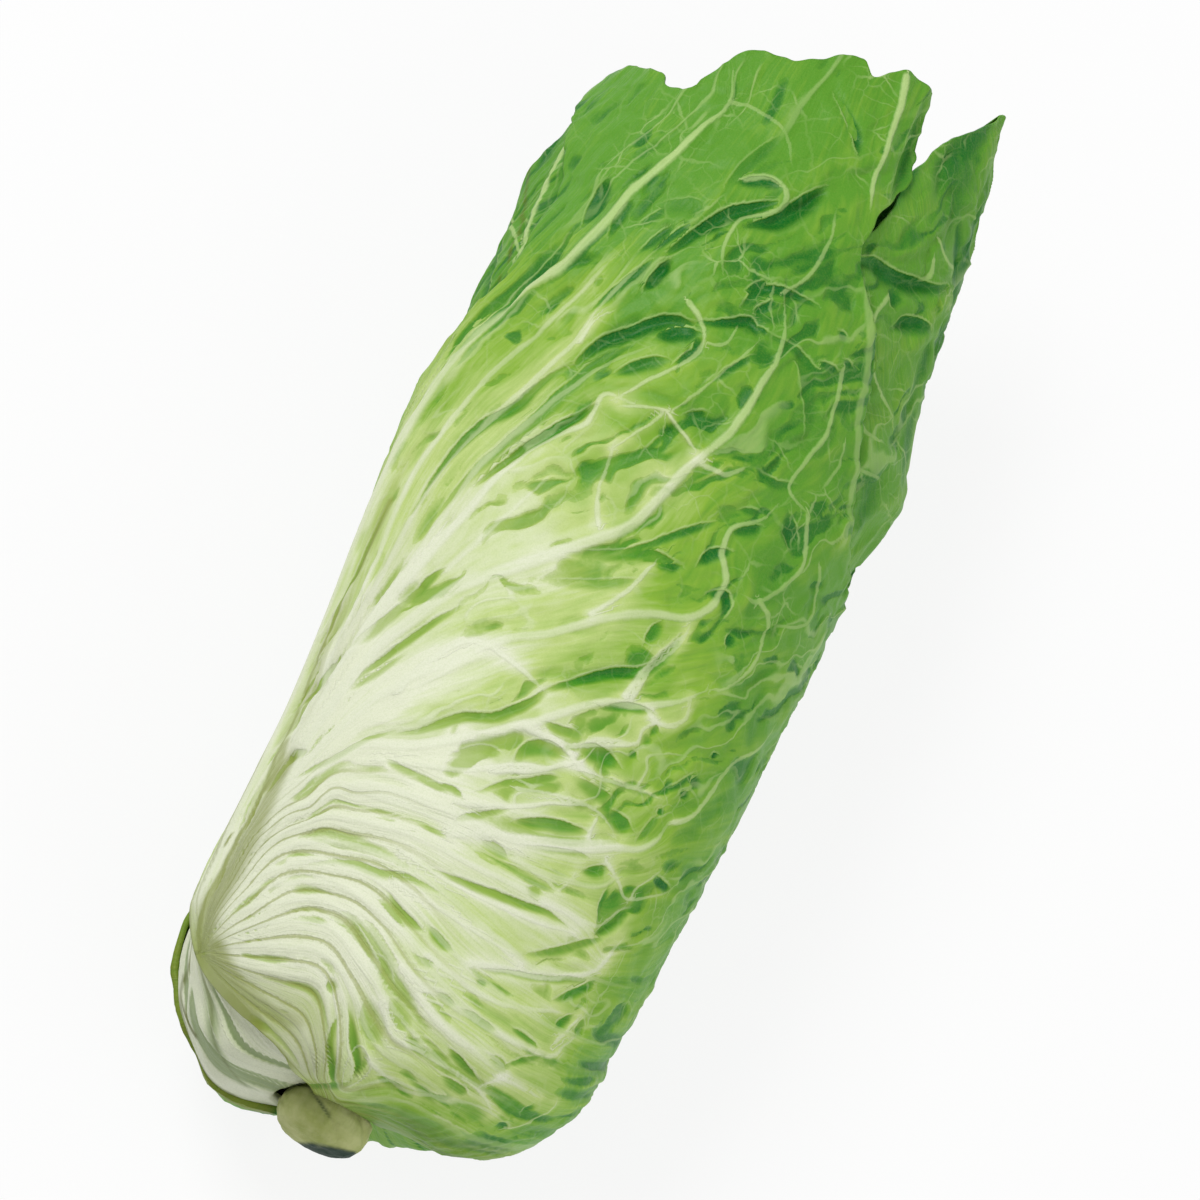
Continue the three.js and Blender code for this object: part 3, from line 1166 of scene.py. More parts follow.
    def crumple(self, b: Blade) -> None:
        """Blisters the blade between its veins and waves its margin."""
        x, y = b.turn * MM_PER_DEGREE, b.reach
        warp_x = 6.5 * noise(x / 12, y / 12, self.seed + 11, 3)
        warp_y = 6.5 * noise(x / 12, y / 12, self.seed + 12, 3)
        lean = math.radians(38.0)
        up = (x + warp_x) * math.sin(lean) + (y + warp_y) * math.cos(lean)
        beside = (x + warp_x) * math.cos(lean) - (y + warp_y) * math.sin(lean)
        wall, tone = cells(up / self.cell_size[0], beside / self.cell_size[1], self.seed + 13)
        green = 1.0 - smoothstep(b.blanch, 0.3, 0.85)
        ribbed = np.maximum(b.rib, b.veined)
        plain = green * (1.0 - 0.8 * ribbed)
        faint = smoothstep(noise(x / 15, y / 15, self.seed + 14, 2), -0.1, 0.5)
        b.net = (0.25 + 0.75 * faint) * (1 - ribbed) * (0.3 + 0.7 * green) * b.calm
        pillow = smoothstep(wall, 0.0, 0.34)
        b.relief += self.blister * plain * (pillow * (0.4 + 0.9 * tone) - 0.5)
        self.wrinkle(b, green, up, beside)
        swell = noise(x / 34, y / 42, self.seed + 23, 2)
        b.relief += 0.8 * swell
        edge = self.edge_distance(b)
        ruffle = noise(b.reach / 15, b.turn / 14, self.seed + 31)
        lift = bell(edge, 9.0) * smoothstep(b.reach, 150, 260)
        b.relief += self.frill * lift * ruffle

    def wrinkle(self, b: Blade, green: Array, up: Array, beside: Array) -> None:
        """Folds the blade in long creases, crests and spindles that run along its veins, and paints
        shade in the spindles, light and shade over the folds and highlights on the crests.

        Args:
            b: the blade.
            green: how little each place is blanched.
            up: the distance along the blade's general lean, in millimetres.
            beside: the distance across it.
        """
        along, across = b.flow.T

        def grain(long: float, wide: float, seed: int, octaves: int = 2) -> Array:
            """Noise drawn out along the veins."""
            swept = noise(along / long, across / wide, self.seed + seed, octaves)
            plain = noise(up / long, beside / wide, self.seed + seed, octaves)
            return swept * (1 - b.loose) + plain * b.loose

        free = b.calm * (1 - np.maximum(b.rib, b.veined))
        inner = 1 - 0.8 * smoothstep(b.reach, 285, 310)
        fold = grain(42, 8.0, 22, 3)
        level = grain(36, 7.0, 24)
        crest = bell(level, 0.1 + 0.05 * self.coarse)
        shown = smoothstep(grain(26, 14, 25, 1), -0.05, 0.4) * free
        size = 1.0 + 0.5 * self.coarse
        long = (grain(19, 4.6 * size, 26) - 0.3) / 0.5
        short = (grain(10, 3.2 * size, 27) - 0.36) / 0.6
        spindle, small = (smoothstep(value, -0.08, 0.28) * free * inner for value in (long, short))
        b.relief += (0.5 + 0.7 * green) * b.calm * fold
        b.relief += 0.35 * crest * shown - 0.5 * spindle - 0.3 * small
        b.relief += 0.16 * b.calm * grain(8, 3.4, 21, 3)
        # pit paints shade in the spindles; shade paints the folds paler on their raised side and
        # darker on their low side.
        pit = np.maximum(long, short) + 0.4 * (free * inner - 1.0)
        b.fold = np.stack([level, shown * (0.8 - 0.25 * green), pit], axis=1)
        b.shade = np.clip(0.5 + 0.6 * fold * b.calm, 0, 1)

    def whiten(self, b: Blade) -> None:
        """Blanches the leaf towards its base and along its midrib."""
        low, high = self.blanch_reach
        patch = 22.0 * noise(b.flow[:, 0] / 30, b.reach / 45, self.seed + 41, 2)
        out = np.abs(b.flow[:, 0])
        b.blanch = 1.0 - smoothstep(b.reach + 0.6 * out + patch, low, high)
        b.blanch = np.maximum(b.blanch, self.blanch_least)

    def dress(self, b: Blade, form: HeadForm) -> None:
        """Raises and paints everything on the blade.

        Args:
            b: the blade.
            form: the head's form.
        """
        self.flow_from_midrib(b)
        b.loose = np.full(len(b.reach), self.loose)
        self.whiten(b)
        self.side_veins(b)
        for route in self.ribs:
            b.raise_rib(route, form)
        self.crumple(b)
        for route in self.creases:
            b.press_hollow(route, form)
        for route in self.stains:
            b.soil(route, form)
        self.paint_contact_shade(b)
        # Painted shade towards the tips, strongest on the outermost inner leaves.
        b.hollow = np.maximum(b.hollow, self.dark_tip * smoothstep(b.reach, 225, 285))

    def paint_contact_shade(self, b: Blade) -> None:
        """Paints shade on the leaf where it comes out from under another leaf's margin."""
        for outline in self.covering:
            low, high = profile_at(outline.low, b.reach), profile_at(outline.high, b.reach)
            away = np.abs(turn_from(b.turn, (low + high) / 2)) - (high - low) / 2
            past = np.maximum(0.0, away * b.girth)
            b.hollow = np.maximum(b.hollow, 0.75 * bell(past, 3.2))

    def build(self, form: HeadForm, nesting: Nesting, skin: bpy.types.Material) -> bpy.types.Object:
        """Makes the finished leaf.

        Args:
            form: the head's form.
            nesting: how deep the leaves lie.
            skin: the leaf's material.

        Returns:
            The piece.
        """
        mesh = self.grid()
        blade = self.blade(mesh, form, nesting)
        self.dress(blade, form)
        relief = blade.relief * smoothstep(blade.reach, 7.0, 20.0)
        for swelling in self.swellings:
            near = bell(blade.reach - swelling.reach, swelling.long)
            relief = relief + swelling.height * near * bell(
                turn_from(blade.turn, swelling.turn), swelling.wide
            )
        below = blade.inside * profile_at(self.thickness, blade.reach)
        points = form.surface(blade.reach, blade.turn, blade.depth + below - relief)
        points[:, 2] = np.maximum(points[:, 2], FLOOR_GAP)
        shaped_mesh(self.name, points, mesh)
        for layer in LAYERS:
            paint(mesh, layer, getattr(blade, layer))
        paint(mesh, "flow", blade.flow * MM)
        spread = np.column_stack([blade.turn * np.maximum(blade.girth, 0.55), blade.reach])
        paint(mesh, "spread", spread * MM)
        mesh.materials.append(skin)
        return add_piece(self.name, mesh, self.node)


FRONT_OUTLINE = Outline(
    low=(
        (7, -22), (12, -25), (18, -28), (20, -33), (22, -42), (25, -54), (28, -63), (31, -69),
        (36, -74), (46, -80), (60, -90), (100, -110), (150, -114), (185, -102), (208, -80),
        (222, -71), (236, -65), (250, -61), (266, -62), (280, -69), (292, -75), (305, -84),
    ),
    high=(
        (7, 84), (20, 102), (34, 107), (55, 108), (120, 106), (172, 102), (205, 80), (214, 62),
        (226, 57), (244, 48), (256, 45), (273, 35), (286, 27), (295, 28), (303, 33), (315, 37),
        (326, 36), (339, 33),
    ),
    tip=(
        (0, 304), (0.05, 310), (0.12, 313), (0.2, 312), (0.27, 310), (0.31, 306), (0.37, 306.5),
        (0.4, 315), (0.44, 321), (0.5, 325), (0.56, 326), (0.62, 328.5), (0.7, 333.5),
        (0.75, 335.5), (0.79, 332), (0.84, 336), (0.9, 340), (1, 340),
    ),
)
UNDER_OUTLINE = Outline(
    low=((7, 132), (25, 108), (80, 88), (180, 86), (225, 104), (300, 124)),
    high=((7, 230), (25, 250), (80, 260), (180, 252), (230, 240), (300, 226)),
    tip=((0, 284), (0.2, 300), (0.4, 309), (0.55, 305), (0.75, 303), (1, 280)),
)
LEFT_OUTLINE = Outline(
    low=((7, -150), (25, -172), (90, -190), (200, -182), (255, -150), (288, -118)),
    high=((7, -22), (25, -16), (90, -14), (200, -24), (250, -40), (296, -50)),
    tip=((0, 262), (0.25, 271), (0.5, 284), (0.64, 296), (0.8, 294), (1, 284)),
)
RIGHT_OUTLINE = Outline(
    low=(
        (7, 52), (25, 34), (90, 14), (200, 8), (265, 12), (286, 25), (296, 33), (306, 36),
        (315, 38), (322, 43), (327, 45), (338, 58), (350, 74),
    ),
    high=(
        (7, 150), (25, 172), (90, 188), (200, 184), (255, 165), (290, 135), (305, 112),
        (318, 98), (330, 87), (338, 80), (344, 76.5), (350, 75.5),
    ),
    tip=((0, 349), (0.5, 350), (1, 350)),
)
FRONT_STAINS = (
    Route(((31, -69), (28, -63), (25, -54), (22, -42), (20, -33)), (1.8, 1.4), (0.8, 0.4)),
    Route(((34, -69), (38, -70), (45, -68), (62, -67), (76, -68), (92, -71), (110, -75), (127, -74),
           (148, -69), (165, -66)), (1.7, 1.5), (1.0, 0.8)),
    Route(((38, -66), (48, -64), (60, -63), (74, -62)), (1.0, 0.8), (0.6, 0.3)),
    Route(((78, -66), (84, -66), (91, -68)), (3.4, 2.6), (0.8, 0.7)),
    Route(((36, -66), (44, -61), (56, -56), (68, -51)), (0.9, 0.7), (0.6, 0.2)),
    Route(((23, -45), (29, -59), (36, -66), (50, -63), (66, -61), (84, -62)), (6.5, 5.0),
           (0.85, 0.7)),
    Route(((34, -60), (29, -50), (26, -36), (26, -24)), (5.0, 3.5), (0.85, 0.6)),
    Route(((59, -73), (62, -72)), (1.0, 0.9), (1.0, 1.0)),
)
LEFT_RIBS = (
    Route(((294, -72), (285, -74), (276, -73), (267, -72), (258, -70), (250, -66), (242, -62),
           (231, -61), (222, -62)), (1.3, 1.0), (0.9, 0.8), 1.0),
    Route(((262, -89), (250, -70), (241, -64)), (0.8, 0.6), (0.7, 0.5), 0.5),
    vein(1.6, 0.8, (34, -84), (27, -92), (21, -99), (16, -108), (12, -116)),
)
# Every crease is pressed in and paints shade; the first, wide one is a band of painted shade beside
# the front leaf's margin.
LEFT_CREASES = (
    Route(((32, -76), (27, -74), (21, -74), (16, -82), (12, -95), (9, -108)), (3.2, 3.6),
           (0.6, 0.7), -1.0),
    hollow(1.6, 0.6, (222, -76), (236, -78), (250, -86), (268, -92)),
    hollow(1.6, 0.9, (222, -57), (232, -55), (242, -53), (252, -50)),
    hollow(2.6, 0.6, (262, -66), (272, -66), (284, -66)),
    hollow(3.0, 0.8, (276, -88), (284, -84), (292, -80)),
)
LEFT_STAINS = (
    Route(((44, -84), (38, -87), (34, -90), (31, -98), (28, -102), (23, -107), (18, -114),
           (14, -120)), (1.4, 2.2), (0.7, 0.7)),
    Route(((29, -100), (26, -98), (22, -96)), (1.3, 1.0), (1.0, 1.0)),
    Route(((33, -76), (27, -74), (21, -74), (16, -82), (11, -96)), (0.8, 1.0), (0.6, 0.4)),
    Route(((294, -80), (286, -90), (274, -90), (260, -78), (247, -72), (235, -68), (226, -66),
           (218, -65)), (0.9, 0.8), (0.8, 0.5)),
)
RIGHT_RIBS = (
    Route(((279, 45), (272, 42), (266, 43), (261, 45), (258, 49), (255, 54), (253, 60), (249, 66)),
           (0.9, 0.8), (0.6, 0.5), 0.8),
    Route(((304, 58), (301, 65), (302, 72)), (0.8, 0.6), (0.6, 0.4), 0.4),
    Route(((298, 58), (294, 59), (290, 56)), (0.8, 0.6), (0.6, 0.4), 0.4),
    Route(((243, 48), (242, 55), (243, 62)), (0.8, 0.6), (0.4, 0.4), 0.3),
    Route(((231, 52), (232, 59), (235, 68)), (0.8, 0.6), (0.4, 0.4), 0.3),
    Route(((215, 56), (216, 64)), (0.8, 0.6), (0.4, 0.3), 0.3),
)
# Every crease is pressed in and paints shade; the wide ones paint soft shade only, darkening broad
# bands of the leaf.
RIGHT_CREASES = (
    Route(((275, 39), (268, 39), (262, 42), (256, 47), (251, 53)), (1.3, 1.3), (0.8, 0.6), -1.4),
    Route(((276, 24), (282, 31), (284, 38), (285, 45), (287, 52), (290, 59), (295, 68)), (2.2, 2.0),
           (0.8, 1.0), -2.2),
    Route(((282, 46), (278, 50)), (2.2, 1.6), (0.9, 0.7), -1.0),
    Route(((273, 52), (278, 58), (281, 66)), (2.0, 1.6), (0.8, 0.9), -1.5),
    Route(((314, 66), (308, 71), (301, 76), (292, 82)), (3.0, 3.0), (0.9, 0.8), -1.0),
    Route(((279, 70), (273, 71), (266, 72), (256, 74)), (3.0, 2.4), (0.9, 0.7), -1.0),
    Route(((238, 62), (228, 66), (217, 68)), (7.0, 5.0), (0.6, 0.5), -0.6),
    Route(((332, 76), (316, 78), (300, 80), (282, 80), (262, 80)), (4.5, 4.0), (0.8, 0.7), -0.5),
    Route(((262, 78), (250, 76), (240, 80)), (3.0, 4.0), (0.7, 0.5), -0.4),
    Route(((345, 66), (334, 58), (324, 52), (314, 50)), (5.0, 6.0), (0.9, 0.6), -0.8),
    Route(((338, 64), (328, 60), (316, 60), (304, 62)), (5.0, 6.0), (0.6, 0.5), -0.4),
    hollow(6.0, 0.7, (8, 92), (20, 100), (42, 106)),
)
TOP_LEFT_SWELLING = Swelling(287, -88, 24, 30, 6.5)
UNDER_STAINS = (
    Route(((76, -101), (50, -104), (36, -107), (25, -111), (16, -120), (9, -130)), (2.4, 2.4),
           (0.7, 1.0)),
)
WRAPPERS = [FRONT_OUTLINE, UNDER_OUTLINE, LEFT_OUTLINE, RIGHT_OUTLINE]
# Each row of a vein or a hollow holds its half-width, its strength and its (reach, turn) points.
FRONT_FAN = tuple(Route(points) for points in (
    ((33, -62), (32, -46), (33, -30), (33, -20), (29, -15), (25, -12)),
    ((35, -62), (36, -46), (38, -28), (37, -17), (33, -9), (28, 0), (26, 17), (26, 40)),
    ((36, -62), (39, -48), (42, -34), (43, -22), (40, -14), (37, -6), (33, 7), (30, 26), (32, 56)),
    ((38, -63), (42, -52), (45, -38), (47, -26), (45, -13), (40, -1), (37, 13), (35, 36), (38, 60)),
    ((39, -63), (45, -52), (50, -39), (53, -23), (49, -9), (44, 3), (41, 18), (41, 39), (45, 63)),
    ((40, -64), (48, -56), (56, -39), (59, -21), (55, -6), (49, 8), (46, 25), (47, 45), (55, 69)),
    ((42, -64), (52, -56), (62, -40), (65, -19), (63, -2), (59, 15), (58, 33), (65, 49), (73, 69)),
    ((44, -64), (56, -56), (69, -40), (73, -15), (73, 7), (75, 27), (75, 40), (72, 49)),
    ((46, -64), (60, -56), (77, -38), (80, -13), (80, 12), (83, 26), (88, 37), (95, 40)),
))
FRONT_LATERALS = (
    Route(((50, -63), (64, -55), (80, -33), (83, -13), (84, 7), (90, 21), (98, 34), (102, 41),
           (108, 45), (114, 46)), (1.9, 0.9), (0.5, 0.7), 0.7),
    Route(((54, -63), (70, -56), (90, -40), (96, -25), (104, -13), (114, -2), (124, 7), (132, 15),
           (136, 23), (143, 32), (151, 38)), (2.3, 0.9), (0.55, 0.8), 0.9),
    Route(((58, -63), (76, -57), (99, -44), (114, -33), (123, -24), (134, -15), (142, -5), (153, 6),
           (160, 16), (165, 25), (171, 29), (179, 30), (186, 26), (193, 26), (200, 32), (206, 34)),
           (2.0, 0.8), (0.55, 0.75), 0.9),
    Route(((62, -64), (80, -59), (114, -49), (130, -40), (142, -32), (154, -21), (164, -11),
           (173, -3), (181, 3), (193, 7), (204, 10), (217, 15), (233, 17), (248, 17), (260, 13)),
           (2.9, 0.8), (0.65, 0.85), 1.2),
    Route(((90, -61), (126, -54), (148, -47), (166, -43), (182, -39), (194, -34), (207, -27),
           (218, -20), (228, -11)), (1.6, 0.7), (0.6, 0.4), 0.7),
    Route(((92, -62), (118, -61), (142, -56), (164, -53), (180, -49), (191, -44), (206, -36),
           (220, -30), (233, -27), (246, -23), (256, -20)), (1.5, 0.7), (0.6, 0.55), 0.8),
    Route(((100, -64), (144, -62), (169, -60), (188, -55), (205, -49), (217, -43), (229, -37),
           (241, -32), (253, -29)), (1.6, 0.7), (0.7, 0.45), 0.7),
    Route(((44, -73), (60, -76), (76, -79), (96, -83), (120, -84), (144, -80), (168, -74),
           (196, -67), (218, -60), (233, -51), (243, -42), (258, -37), (270, -35), (284, -30),
           (295, -27), (306, -24), (316, -29)), (4.2, 0.8), (0.7, 0.9), 2.0),
)
FRONT_BRANCHES = (
    Route(((204, 10), (205, 18), (210, 22)), (0.9, 0.6), (0.7, 0.4), 0.4),
    Route(((260, 13), (268, 17), (279, 18), (289, 16)), (0.8, 0.5), (0.6, 0.3), 0.4),
    Route(((176, -5), (183, -8), (191, -9), (199, -10)), (0.9, 0.5), (0.6, 0.3), 0.4),
    Route(((152, 2), (160, 7), (168, 10), (174, 12)), (0.9, 0.6), (0.7, 0.6), 0.4),
    Route(((110, -34), (122, -29), (131, -21), (129, -10), (127, -1)), (1.2, 0.8), (0.8, 0.6), 0.6),
    Route(((136, 20), (146, 22), (154, 25), (164, 26)), (0.8, 0.5), (0.7, 0.3), 0.4),
    Route(((137, 24), (134, 29), (139, 35), (146, 34)), (0.7, 0.5), (0.6, 0.3), 0.3),
    Route(((89, -30), (95, -11), (104, 2), (107, 9), (112, 13)), (1.0, 0.7), (0.5, 0.7), 0.5),
    Route(((115, 0), (115, 11), (122, 18), (126, 27)), (0.8, 0.6), (0.6, 0.4), 0.4),
    Route(((115, 9), (111, 18), (115, 29), (118, 40)), (0.8, 0.6), (0.5, 0.4), 0.4),
    Route(((115, 47), (120, 52), (131, 55), (141, 57), (150, 66), (159, 69)), (0.9, 0.6),
           (0.7, 0.3), 0.4),
    Route(((210, 43), (198, 49), (189, 46), (180, 41), (179, 36)), (0.9, 0.6), (0.6, 0.3), 0.4),
    Route(((180, 41), (178, 46), (171, 48), (162, 47), (154, 42), (151, 38)), (0.8, 0.7),
           (0.5, 0.5), 0.4),
    Route(((200, 55), (191, 61), (184, 59), (177, 48)), (0.7, 0.6), (0.4, 0.4), 0.3),
    Route(((250, 35), (242, 37), (231, 38), (221, 36), (212, 35), (210, 43)), (0.9, 0.6),
           (0.5, 0.5), 0.4),
    Route(((233, 45), (227, 47), (218, 44)), (0.8, 0.6), (0.4, 0.3), 0.3),
    Route(((285, -9), (289, -4), (288, 1), (283, 3), (277, -1), (274, -5), (268, -6), (261, -5),
           (256, -3)), (1.0, 0.6), (0.6, 0.5), 0.8),
    Route(((338, 20), (327, 22), (315, 23), (304, 23), (296, 25)), (1.3, 0.7), (0.95, 0.7), 0.8),
    Route(((306, -24), (307, -17), (304, -6), (296, 0)), (0.8, 0.5), (0.5, 0.2), 0.4),
    Route(((111, -58), (138, -48), (152, -42), (166, -37), (176, -34), (188, -29), (195, -24),
           (201, -18), (210, -17), (211, -10)), (1.9, 0.8), (0.8, 0.7), 1.1),
    Route(((148, -36), (164, -29), (175, -24), (184, -21)), (1.2, 0.6), (0.5, 0.3), 0.5),
    Route(((276, 33), (265, 38), (254, 43), (245, 45), (237, 49), (230, 54), (222, 56), (216, 60)),
           (1.6, 1.6), (0.35, 0.35), 0.8),
) + tuple(vein(*row) for row in (
    (1, 0.6, (38, 7), (36, 14), (35, 22), (36, 29), (36, 36), (35, 41)),
    (1, 0.7, (34, -2), (30, 6), (30, 16), (30, 26), (30, 38), (28, 52)),
    (0.9, 0.6, (24, 4), (22, 18), (23, 26), (26, 35)),
    (1.2, 0.7, (41, -1), (40, 12), (40, 30), (42, 48), (46, 52), (53, 56)),
    (1, 0.6, (45, 4), (44, 20), (46, 32), (52, 44)),
    (1.2, 0.8, (49, 14), (54, 27), (60, 39), (67, 48), (72, 50), (80, 52)),
    (0.7, 0.6, (34, 40), (35, 48), (36, 57)), (0.7, 0.5, (21, 40), (23, 58)),
    (0.7, 0.6, (28, 64), (34, 67), (38, 64)), (0.8, 0.7, (45, 48), (55, 53)),
    (0.7, 0.6, (31, 38), (34, 40)), (1, 0.7, (114, -2), (114, 5), (114, 10), (112, 14)),
    (0.9, 0.7, (99, -2), (106, 8), (112, 14)), (0.7, 0.6, (112, 14), (113, 24), (118, 38)),
    (0.7, 0.6, (116, 12), (120, 18), (126, 26), (130, 26), (134, 28), (136, 26)),
    (0.6, 0.5, (134, 29), (136, 34), (142, 36)),
    (0.6, 0.5, (116, 32), (122, 32), (126, 31), (132, 42)),
    (0.9, 0.7, (86, -8), (92, 4), (99, 13), (105, 25)), (0.7, 0.6, (96, 26), (103, 26)),
    (1.3, 0.8, (78, -6), (86, 10), (94, 25), (100, 34)),
    (0.7, 0.6, (94, 34), (91, 42), (90, 48), (102, 62)), (0.6, 0.6, (90, 48), (94, 48), (103, 52)),
    (0.8, 0.5, (80, 12), (80, 21), (80, 26), (87, 28)), (0.9, 0.8, (136, 18), (150, 22), (161, 26)),
    (0.7, 0.6, (213, -1), (212, -5), (209, -12)),
    (0.6, 0.5, (214, 0), (222, 4), (234, 9), (244, 12)), (0.8, 0.7, (212, 0), (209, 5), (206, 10)),
    (0.6, 0.5, (212, -2), (205, -5), (196, -10)), (0.8, 0.7, (222, -28), (228, -27), (234, -23)),
    (0.9, 0.7, (244, -7), (240, -2), (234, 0), (226, -3), (216, -10), (210, -14)),
    (0.6, 0.5, (235, 0), (238, 5), (245, 6)), (0.8, 0.6, (60, -12), (58, -2), (57, 13), (56, 26)),
    (0.8, 0.6, (68, -14), (66, -3), (67, 14), (69, 27), (72, 36)),
    (0.7, 0.5, (74, 24), (76, 36), (80, 44), (88, 48)),
    (0.7, 0.5, (98, 4), (102, 14), (104, 26), (102, 32)),
))
